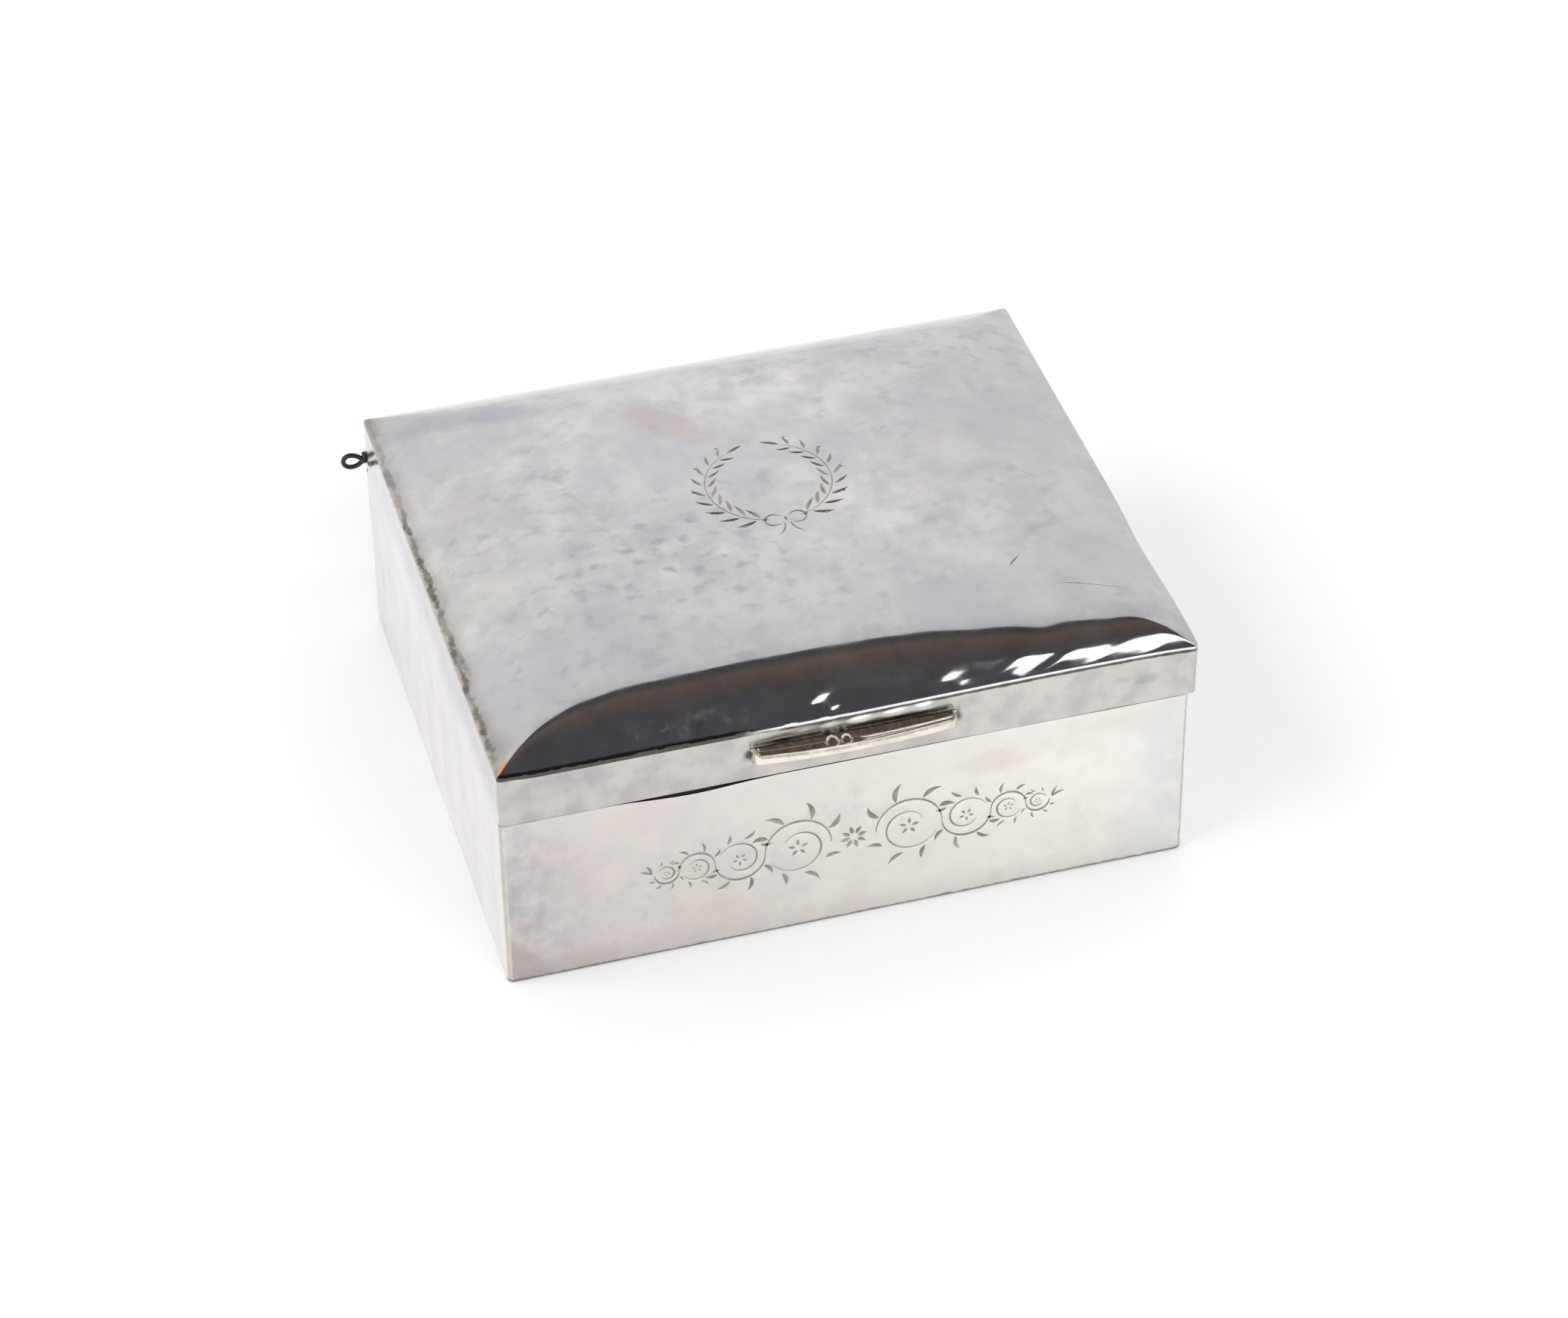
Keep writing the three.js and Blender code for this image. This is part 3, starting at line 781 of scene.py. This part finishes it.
class Nodes:
    """A node tree with the few kinds of node used here, over one coordinate."""

    def __init__(self, tree, coordinate):
        self.nodes = tree.nodes
        self.links = tree.links
        self.place = self.nodes.new("ShaderNodeTexCoord").outputs[coordinate]
        split = self.nodes.new("ShaderNodeSeparateXYZ")
        self.links.new(self.place, split.inputs[0])
        self.x, self.y, self.z = split.outputs

    def put(self, socket, value):
        if isinstance(value, bpy.types.NodeSocket):
            self.links.new(value, socket)
        else:
            socket.default_value = value

    def cloud(self, size, seed, detail=3, roughness=0.55, stretch=(1, 1, 1), distortion=0):
        """Noise with features of about this size in mm."""
        scale = self.nodes.new("ShaderNodeMapping")
        scale.inputs["Scale"].default_value = [s / (size * MM) for s in stretch]
        self.links.new(self.place, scale.inputs["Vector"])
        grain = self.nodes.new("ShaderNodeTexNoise")
        grain.noise_dimensions = "4D"
        self.links.new(scale.outputs["Vector"], grain.inputs["Vector"])
        settings = {
            "W": seed,
            "Scale": 1,
            "Detail": detail,
            "Roughness": roughness,
            "Distortion": distortion,
        }
        for name, value in settings.items():
            grain.inputs[name].default_value = value
        return grain.outputs[0]

    def remap(self, value, low, high, to_low=0.0, to_high=1.0):
        node = self.nodes.new("ShaderNodeMapRange")
        node.interpolation_type = "SMOOTHSTEP"
        names = ("Value", "From Min", "From Max", "To Min", "To Max")
        for name, given in zip(names, (value, low, high, to_low, to_high)):
            self.put(node.inputs[name], given)
        return node.outputs["Result"]

    def math(self, kind, a, b):
        node = self.nodes.new("ShaderNodeMath")
        node.operation = kind
        self.put(node.inputs[0], a)
        self.put(node.inputs[1], b)
        return node.outputs[0]

    def plus(self, a, b):
        return self.math("ADD", a, b)

    def minus(self, a, b):
        return self.math("SUBTRACT", a, b)

    def times(self, *values):
        product = values[0]
        for value in values[1:]:
            product = self.math("MULTIPLY", product, value)
        return product

    def mix(self, share, a, b):
        node = self.nodes.new("ShaderNodeMix")
        node.data_type = "RGBA"
        self.put(node.inputs[0], share)
        for socket, value in ((node.inputs[6], a), (node.inputs[7], b)):
            self.put(socket, value if isinstance(value, bpy.types.NodeSocket) else (*value, 1))
        return node.outputs[2]

    def attribute(self, name):
        node = self.nodes.new("ShaderNodeAttribute")
        node.attribute_name = name
        return node.outputs["Fac"]

    def spot(self, x, y, half_x, half_y, turn=0, upright=False):
        """1 at a place given in mm, and less away from it, with a soft and ragged border. turn is in
        degrees. On an upright wall, y is the height."""
        dx = self.minus(self.x, x * MM)
        dy = self.minus(self.z if upright else self.y, y * MM)
        c = math.cos(math.radians(turn))
        s = math.sin(math.radians(turn))
        across = self.plus(self.times(dx, c), self.times(dy, s))
        across = self.times(across, 1 / (half_x * MM))
        along = self.minus(self.times(dy, c), self.times(dx, s))
        along = self.times(along, 1 / (half_y * MM))
        away = self.plus(self.times(across, across), self.times(along, along))
        ragged = self.times(self.minus(self.cloud(7, x, 4, 0.6), 0.5), 2.2)
        return self.remap(self.plus(away, ragged), 1.2, 0.0)

    def bump(self, height, strength, distance):
        node = self.nodes.new("ShaderNodeBump")
        node.inputs["Strength"].default_value = strength
        node.inputs["Distance"].default_value = distance
        self.links.new(height, node.inputs["Height"])
        return node.outputs["Normal"]

    def ramp(self, value, stops):
        """A colour that changes with a value through stops of (place from 0 to 1, colour)."""
        node = self.nodes.new("ShaderNodeValToRGB")
        self.links.new(value, node.inputs[0])
        elements = node.color_ramp.elements
        while len(elements) < len(stops):
            elements.new(0.5)
        for element, (at, colour) in zip(elements, stops):
            element.position = at
            element.color = (*colour, 1)
        return node.outputs["Color"]


class Finish(Nodes):
    """A material with one Principled surface, the nodes that drive it and the colour so far."""

    def __init__(self, name):
        self.material = bpy.data.materials.new(name)
        self.material.use_nodes = True
        super().__init__(self.material.node_tree, "Object")
        self.surface = self.nodes["Principled BSDF"]
        self.colour = (1, 1, 1)

    def stain(self, tint, *shares):
        """Lays a tint over the colour so far, by the product of the shares."""
        self.colour = self.mix(self.times(*shares), self.colour, tint)

    def set(self, **values):
        for name, value in values.items():
            self.put(self.surface.inputs[name.replace("_", " ")], value)


WORN = (0.50, 0.45, 0.38)
GRIME_AND_SHADE = (0.055, 0.05, 0.042)
COPPER = (0.85, 0.36, 0.16)
POLISH_AND_GLINT = (0.98, 0.975, 0.97)


def wear_dirt_and_painted_light(f):
    """Worn edges, grime and painted shade, and polished spots that also paint glints, with ragged
    borders.
    """
    grain = f.minus(f.cloud(2.4, 5.5, 4), 0.5)
    worn = f.remap(f.plus(f.attribute("wear"), grain), 0.45, 0.95)
    f.stain(WORN, worn, 0.8)
    # Polished spots, which also paint the highlights of the dents above the thumb-piece and the bright
    # line along the front rim.
    f.stain(POLISH_AND_GLINT, f.remap(f.attribute("polish_and_glint"), 0.25, 0.75))
    # This mark holds grime, and also painted shade along the foot and round the thumb-piece's ends.
    dirt_and_shade = f.remap(f.plus(f.attribute("grime_and_shade"), f.times(grain, 0.7)), 0.3, 0.8)
    f.stain(GRIME_AND_SHADE, dirt_and_shade, 0.9)


def silver_skin(f, shine_low, shine_high, ripple, size, haze=0.0):
    """Gloss that varies over the sheet and is lost where it is hazy, and fine unevenness."""
    shine = f.remap(f.cloud(8, 6.4, 5, 0.65), 0.35, 0.7, shine_low, shine_high)
    f.set(Metallic=1.0, Roughness=f.plus(shine, haze))
    f.set(Normal=f.bump(f.cloud(size, 8.8, 3), ripple, 0.2 * MM))


def left_rim(f):
    """The worn left rim of the lid: beige at the very edge, then a ragged dark line with a soft
    brown border, and bare copper at the front corner."""
    wander = f.minus(f.cloud(8, 3.3, 5, 0.7), 0.5)
    inward = f.minus(f.minus(f.x, DOME_LOW.x), f.times(wander, 2.6 * MM))
    from_front = f.remap(f.y, -70 * MM, -58 * MM, 0.3, 1.0)
    reach = f.times(from_front, f.remap(f.y, 68 * MM, 20 * MM, 0.3, 1.0))
    patchy = f.remap(f.cloud(14, 4.7, 3), 0.3, 0.62, 0.25, 1.0)
    border = f.times(f.remap(inward, 5.0 * MM, 0.6 * MM), patchy, 0.75)
    f.stain((0.36, 0.325, 0.275), border)
    edge = f.times(f.remap(inward, 0.9 * MM, 0.2 * MM), 0.6)
    f.stain((0.58, 0.51, 0.44), edge)
    thickness = f.remap(f.cloud(4, 8.1, 5, 0.7), 0.36, 0.64, -0.1 * MM, 0.95 * MM)
    offset = f.math("ABSOLUTE", f.minus(inward, 1.05 * MM), 0)
    line = f.remap(f.minus(offset, thickness), 0.5 * MM, -0.35 * MM)
    depth = f.remap(f.cloud(10, 6.2, 4, 0.65), 0.36, 0.6, 0.35, 0.9)
    f.stain((0.14, 0.12, 0.10), line, reach, depth)
    broken = f.remap(f.cloud(1.5, 4.4, 3), 0.4, 0.6, 0.3, 0.9)
    scar = f.times(f.spot(-80.2, -30, 0.8, 6.0, 4), broken)
    f.stain((0.24, 0.215, 0.185), scar)
    from_corner = [f.minus(f.x, DOME_LOW.x), f.minus(f.y, DOME_LOW.y)]
    along = f.plus(*from_corner)
    aside = f.minus(*from_corner)
    middle = f.math("ABSOLUTE", f.minus(along, 4.6 * MM), 0)
    ragged = f.times(f.minus(f.cloud(1.2, 1.7, 3), 0.5), 1.2 * MM)
    away = f.plus(f.math("ABSOLUTE", f.plus(aside, 0.3 * MM), 0), ragged)
    bare = f.times(f.remap(middle, 2.6 * MM, 1.9 * MM), f.remap(away, 0.85 * MM, 0.5 * MM))
    f.stain(COPPER, bare)


def lid_silver():
    """Pale silver clouded with lilac and beige, with small grey spots, pale flecks and a rosy stain."""
    f = Finish("lid_silver")
    mottle = f.remap(f.cloud(12, 1.3, 7, 0.62), 0.30, 0.70)
    f.colour = f.mix(mottle, (0.745, 0.73, 0.70), (0.535, 0.53, 0.545))
    lilac = f.remap(f.cloud(34, 4.1, 3), 0.44, 0.66)
    f.stain((0.555, 0.55, 0.59), lilac, 0.65)
    beige = f.remap(f.cloud(22, 2.2, 4), 0.54, 0.72)
    f.stain((0.64, 0.58, 0.57), beige, 0.5)
    for x, y, half_x, half_y, turn, share, stain in (
        (-66, 0, 16, 36, 0, 0.5, (0.60, 0.58, 0.545)),
        (-72, -46, 10, 18, 0, 0.7, (0.61, 0.635, 0.70)),
        (-60, 56, 22, 6, -10, 0.7, (0.42, 0.435, 0.51)),
        (-15, 36, 15, 6, -42, 0.6, (0.55, 0.46, 0.445)),
    ):
        f.stain(stain, f.spot(x, y, half_x, half_y, turn), share)
    patches = f.remap(f.cloud(30, 7.7, 2), 0.42, 0.62, 0.2, 0.7)
    patches = f.math("MAXIMUM", patches, f.spot(-30, -20, 44, 28))
    soft = f.times(f.spot(-34, -16, 34, 22), f.remap(f.cloud(9, 5.9, 3), 0.40, 0.64), 0.5)
    f.stain((0.44, 0.455, 0.475), soft)
    small = f.remap(f.cloud(4.2, 2.9, 2, stretch=(0.8, 1, 1)), 0.50, 0.70)
    f.stain((0.38, 0.395, 0.44), patches, small, 0.8)
    pale = f.times(f.remap(f.cloud(26, 9.6, 2), 0.50, 0.66), 0.45)
    pale = f.math("MAXIMUM", f.spot(6, 46, 24, 9), pale)
    flecks = f.remap(f.cloud(4.4, 3.7, 3), 0.48, 0.70)
    f.stain((0.82, 0.79, 0.735), pale, flecks, 0.75)
    # Painted shade: the lid is darker towards the right, the front and the back.
    shade = f.remap(f.x, 15 * MM, 80 * MM, 0.0, 0.45)
    shade = f.math("MAXIMUM", shade, f.remap(f.y, -10 * MM, -60 * MM, 0.0, 0.45))
    shade = f.math("MAXIMUM", shade, f.remap(f.y, 46 * MM, 66 * MM, 0.0, 0.42))
    f.stain((0.43, 0.42, 0.435), shade)
    on_roll = f.remap(f.y, DOME_LOW.y + 17 * MM, DOME_LOW.y + 10 * MM)
    dull = f.remap(f.cloud(8, 5.1, 5, 0.65), 0.36, 0.68)
    f.stain((0.36, 0.335, 0.325), on_roll, dull, 0.5)
    bluish = f.times(f.spot(-30, -66, 34, 6), f.remap(f.cloud(6, 6.7, 4, 0.62), 0.46, 0.66))
    f.stain((0.52, 0.56, 0.67), on_roll, bluish, 0.8)
    left_rim(f)
    wear_dirt_and_painted_light(f)
    f.set(Base_Color=f.colour)
    specks = f.times(f.spot(-37, -68, 24, 3.6), f.remap(f.cloud(4.5, 4.9, 5, 0.65), 0.42, 0.74))
    silver_skin(f, 0.05, 0.10, 0.03, 6, f.times(on_roll, specks, 0.26))
    return f.material


def wall_silver():
    """Warm silver with rosy and lilac stains, darker at the front's left and pale on the left wall, with
    painted shade below the seam and on the top of the left wall.
    """
    f = Finish("wall_silver")
    f.colour = f.mix(f.remap(f.x, -85 * MM, 70 * MM), (0.665, 0.617, 0.585), (0.865, 0.85, 0.785))
    uneven = f.remap(f.x, -75 * MM, 35 * MM, 1.0, 0.2)
    grey = f.remap(f.cloud(8, 1.3, 6, 0.64), 0.40, 0.70)
    f.stain((0.60, 0.592, 0.58), grey, uneven, 0.9)
    rosy = f.remap(f.cloud(13, 4.1, 5), 0.50, 0.70)
    f.stain((0.70, 0.585, 0.555), rosy, uneven, 0.7)
    lilac = f.remap(f.cloud(16, 8.3, 5), 0.52, 0.72)
    f.stain((0.60, 0.58, 0.63), lilac, uneven, 0.6)
    patches = f.remap(f.cloud(30, 7.7, 2), 0.42, 0.60)
    speck = f.times(patches, f.remap(f.cloud(3.2, 2.9, 3), 0.52, 0.70))
    f.stain((0.47, 0.49, 0.53), speck, uneven, 0.45)
    f.stain((0.52, 0.47, 0.455), f.remap(f.z, 9 * MM, 0, 0.0, 0.3))
    left_end = f.remap(f.cloud(5, 6.6, 6, 0.65), 0.28, 0.66)
    left_end = f.times(f.remap(f.x, -56 * MM, -81 * MM), left_end, 0.9)
    f.stain((0.425, 0.42, 0.445), left_end)
    # Painted shade below the lid's overhang: a darker strip under the seam.
    painted_shade_below_seam = f.remap(f.cloud(10, 5.3, 4, 0.6), 0.3, 0.6, 0.15, 0.4)
    painted_shade_below_seam = f.times(f.remap(f.z, 33 * MM, 45 * MM), painted_shade_below_seam)
    f.stain((0.70, 0.675, 0.645), painted_shade_below_seam)
    right_end = f.remap(f.cloud(9, 2.1, 4, 0.6), 0.32, 0.62, 0.3, 0.8)
    right_end = f.times(f.remap(f.x, 58 * MM, 82 * MM), right_end)
    f.stain((0.665, 0.67, 0.675), right_end)
    for x, z, half_x, half_z, share, stain in (
        (33.5, 38, 10, 4.5, 0.55, (0.69, 0.60, 0.565)),
        (66, 43.5, 11, 2.6, 0.5, (0.78, 0.70, 0.62)),
        (36, 3, 3, 2.2, 0.4, (0.66, 0.57, 0.56)),
        (-56, 43, 5, 4, 0.5, (0.72, 0.62, 0.54)),
        (-81, 4, 9, 13, 0.6, (0.38, 0.325, 0.315)),
        (-66, 2, 16, 5, 0.4, (0.52, 0.44, 0.43)),
        (72, 54.6, 3.2, 1.6, 0.7, (0.36, 0.39, 0.43)),
        (66, 55.4, 3.0, 1.3, 0.5, (0.40, 0.42, 0.45)),
    ):
        f.stain(stain, f.spot(x, z, half_x, half_z, 0, True), share)
    on_lid = f.remap(f.z, 47.3 * MM, 47.5 * MM)
    dull = f.remap(f.cloud(7, 9.9, 5), 0.38, 0.66)
    lid_grey = f.mix(dull, (0.54, 0.517, 0.48), (0.365, 0.358, 0.358))
    f.stain(lid_grey, on_lid, 0.7)
    left_wall = f.remap(f.x, -81.0 * MM, -82.2 * MM)
    streaks = f.remap(f.cloud(12, 3.9, 4, stretch=(1, 1, 0.35)), 0.36, 0.66)
    bright = f.mix(streaks, (0.855, 0.825, 0.81), (0.75, 0.735, 0.745))
    # Painted shadow under the lid's overhang: the left wall darkens towards its top.
    painted_shade_under_lid = f.remap(f.z, 46 * MM, 56 * MM, 0.0, 0.85)
    bright = f.mix(painted_shade_under_lid, bright, (0.58, 0.57, 0.59))
    bright = f.mix(f.remap(f.y, 20 * MM, 70 * MM, 0.0, 0.7), bright, (0.62, 0.625, 0.67))
    f.stain(bright, left_wall)
    wear_dirt_and_painted_light(f)
    f.set(Base_Color=f.colour)
    silver_skin(f, 0.14, 0.26, 0.10, 2.2)
    return f.material


def plain_silver():
    f = Finish("plain_silver")
    mottle = f.remap(f.cloud(9, 1.3, 5), 0.4, 0.66)
    f.colour = f.mix(mottle, (0.74, 0.72, 0.67), (0.60, 0.58, 0.55))
    wear_dirt_and_painted_light(f)
    f.set(Base_Color=f.colour)
    silver_skin(f, 0.12, 0.24, 0.06, 2.2)
    return f.material


def thumb_silver():
    """Silver with olive tarnish in its hollows."""
    f = Finish("thumb_silver")
    mottle = f.remap(f.cloud(3, 1.3, 4), 0.4, 0.66)
    f.colour = f.mix(mottle, (0.86, 0.82, 0.74), (0.72, 0.68, 0.60))
    cloudy = f.remap(f.cloud(1.6, 7.1, 4), 0.4, 0.66)
    olive = f.mix(cloudy, (0.48, 0.45, 0.35), (0.68, 0.64, 0.53))
    f.stain(olive, f.remap(f.attribute("grime_and_shade"), 0.35, 0.85))
    f.set(Base_Color=f.colour)
    silver_skin(f, 0.07, 0.14, 0.04, 1.5)
    return f.material


def engraved_silver():
    """Grey-olive tarnish in engraved lines."""
    f = Finish("engraved_silver")
    mottle = f.remap(f.cloud(4, 2.7, 3), 0.4, 0.65)
    f.set(Base_Color=f.mix(mottle, (0.30, 0.28, 0.23), (0.42, 0.40, 0.34)))
    f.set(Metallic=1.0, Roughness=0.32)
    return f.material


def cedar(name, stretch, dark, light):
    """Bare planed wood with its grain along one axis, dark with painted shade behind the front seam."""
    f = Finish(name)
    rings = f.cloud(7, 3.2, 3, 0.5, stretch, 1.4)
    fibre = f.cloud(0.9, 9.4, 4, 0.6, stretch)
    f.colour = f.mix(f.remap(rings, 0.35, 0.66), dark, light)
    f.stain(tuple(0.55 * c for c in dark), f.remap(fibre, 0.5, 0.75), 0.5)
    # Painted shade: the wood behind the front seam is darkened so that the gap reads dark.
    painted_seam_shade = f.times(f.remap(f.y, -69.0 * MM, -69.6 * MM), f.remap(f.z, 44 * MM, 45 * MM))
    f.stain((0.035, 0.022, 0.016), painted_seam_shade)
    f.set(Base_Color=f.colour, Roughness=0.62)
    f.set(Normal=f.bump(fibre, 0.25, 0.1 * MM))
    return f.material


def dark_iron(name):
    f = Finish(name)
    rust = f.remap(f.cloud(1.6, 1.9, 4), 0.45, 0.7)
    f.set(Base_Color=f.mix(rust, (0.055, 0.055, 0.05), (0.10, 0.07, 0.045)), Metallic=1.0)
    f.set(Roughness=f.remap(rust, 0, 1, 0.32, 0.6))
    return f.material


CEDAR_DARK = (0.24, 0.095, 0.042)
CEDAR_LIGHT = (0.42, 0.20, 0.10)
walls = wall_silver()
plain = plain_silver()
lines = engraved_silver()
cedar_across = cedar("cedar_across", (0.06, 1, 1), CEDAR_DARK, CEDAR_LIGHT)
cedar_along = cedar("cedar_along", (1, 0.06, 1), CEDAR_DARK, CEDAR_LIGHT)

# Pieces

base_section = wall_section(BASE_LOW.z, BASE_HIGH.z, 0.6 * MM, 0.1 * MM, 30)
base_walls = wall_piece(
    "base_walls", BASE_LOW, BASE_HIGH, base_section, 1.4 * MM,
    base_push, base_lift, base_marks, walls, "base", ["base_band"],
)
engrave(base_walls, scrolls(), front_surface, lines, SHEET_SHARP)
lid_section = wall_section(LID_LOW.z, RIM - SHEET - 0.05 * MM, 0.12 * MM, 0.1 * MM, 22)
wall_piece(
    "lid_walls", LID_LOW, LID_HIGH, lid_section, 0.7 * MM,
    lid_push, lid_lift, lid_marks, walls, "lid", ["lid_band"],
)
engrave(lid_top(lid_silver()), wreath() + scratches(), lid_surface, lines, SHEET_SHARP)
thumb_piece(thumb_silver())
for index in (1, 2, 3, 4):
    knuckle_piece(f"base_knuckle_{index}", "base", plain)
for index in (1, 2, 3):
    knuckle_piece(f"lid_knuckle_{index}", "lid", plain)
hinge_pin(dark_iron("dark_iron"))
softened("base_plate", 0.1 * MM, plain, "base")
softened("base_bearer", 0.25 * MM, plain, "base")
softened("lid_bearer", 0.25 * MM, plain, "lid")
BOARD_EDGE = 0.4 * MM
for board in ("lining_floor", "lining_front", "lining_back"):
    softened(board, BOARD_EDGE, cedar_across, "base")
for board in ("lining_left", "lining_right", "divider"):
    softened(board, BOARD_EDGE, cedar_along, "base")


# Stage

def plane(name, size, material):
    mesh = bpy.data.meshes.new(name)
    corners = [(x * size, y * size, -0.02 * MM) for x, y in ((-1, -1), (1, -1), (1, 1), (-1, 1))]
    mesh.from_pydata(corners, [], [(0, 1, 2, 3)])
    mesh.materials.append(material)
    thing = bpy.data.objects.new(name, mesh)
    scene.collection.objects.link(thing)
    return thing


TABLE_HALF = 4
TABLE_GLOW = 0.08
table = Finish("white_table")
squares = table.plus(table.times(table.x, table.x), table.times(table.y, table.y))
away = table.math("POWER", squares, 0.5)
table.set(Base_Color=table.mix(table.remap(away, 0.15, 0.45), (0.99, 0.99, 0.99), (1, 1, 1)))
table.set(Roughness=0.3, Specular_IOR_Level=0.25)
# The table is a little whiter to the eye and in reflections than its light on the box.
ray = table.nodes.new("ShaderNodeLightPath").outputs
seen = table.math("MAXIMUM", ray["Is Camera Ray"], ray["Is Glossy Ray"])
seen = table.math("MAXIMUM", seen, ray["Is Transmission Ray"])
table.set(Emission_Strength=table.times(seen, TABLE_GLOW))
plane("table_top", TABLE_HALF, table.material)


def area_light(name, place, aim, size, power):
    data = bpy.data.lights.new(name, "AREA")
    data.shape = "RECTANGLE"
    data.size, data.size_y = size
    data.energy = power
    light = bpy.data.objects.new(name, data)
    light.location = place
    light.rotation_mode = "QUATERNION"
    if aim:
        light.rotation_quaternion = (Vector(aim) - Vector(place)).to_track_quat("-Z", "Y")
    scene.collection.objects.link(light)
    return light


for name, place, size, power in (
    ("left_softbox", (-1.5, -0.1, 1.4), (1.6, 1.2), 13.6),
    ("front_softbox", (0.3, -1.6, 1.5), (1.8, 1.0), 14),
):
    area_light(name, place, (0, 0, 0), size, power).visible_glossy = False
area_light("top_softbox", (0.645, -0.30, 1.16), None, (0.61, 0.17), 0.8)

world = bpy.data.worlds.new("studio")
scene.world = world
world.use_nodes = True
sky = Nodes(world.node_tree, "Generated")
# A dark ceiling between the lamps, from its back edge to its front, and a pale room beyond it.
CEILING_BACK = 0.355
CEILING_FRONT = -0.62
CEILING_SIDE = 0.55
CEILING_FOOT = 0.5
inside = sky.minus(CEILING_BACK, sky.y)
ceiling = sky.ramp(sky.times(inside, 2), [
    (0.0, (0.12, 0.12, 0.122)),
    (0.06, (0.09, 0.088, 0.09)),
    (0.13, (0.105, 0.101, 0.10)),
    (0.20, (0.15, 0.128, 0.12)),
    (0.27, (0.20, 0.145, 0.122)),
    (0.40, (0.18, 0.132, 0.115)),
    (0.58, (0.142, 0.114, 0.107)),
    (0.8, (0.112, 0.106, 0.108)),
    (1.0, (0.11, 0.109, 0.12)),
])
beyond = sky.times(inside, -1)
for more, less in (
    (CEILING_FOOT, sky.z),
    (sky.x, CEILING_SIDE),
    (-CEILING_SIDE, sky.x),
    (CEILING_FRONT, sky.y),
):
    beyond = sky.math("MAXIMUM", beyond, sky.minus(more, less))
room = sky.mix(sky.remap(beyond, 0.0, 0.15), (0.87, 0.87, 0.88), (0.97, 0.97, 0.975))
colour = sky.mix(sky.remap(beyond, -0.004, 0.006), ceiling, room)
sky.links.new(colour, sky.nodes["Background"].inputs["Color"])

# Camera

camera_data = bpy.data.cameras.new("camera")
camera_data.sensor_width = 36
camera_data.lens = 105.5
camera = bpy.data.objects.new("camera", camera_data)
camera.location = (-0.22991, -0.84252, 0.72421)
aim = Vector((0.00171, -0.01075, 0.030)) - camera.location
camera.rotation_mode = "QUATERNION"
camera_roll = Matrix.Rotation(math.radians(-0.831), 3, "Z").to_quaternion()
camera.rotation_quaternion = aim.to_track_quat("-Z", "Y") @ camera_roll
scene.collection.objects.link(camera)
scene.camera = camera
scene.view_settings.view_transform = "Standard"
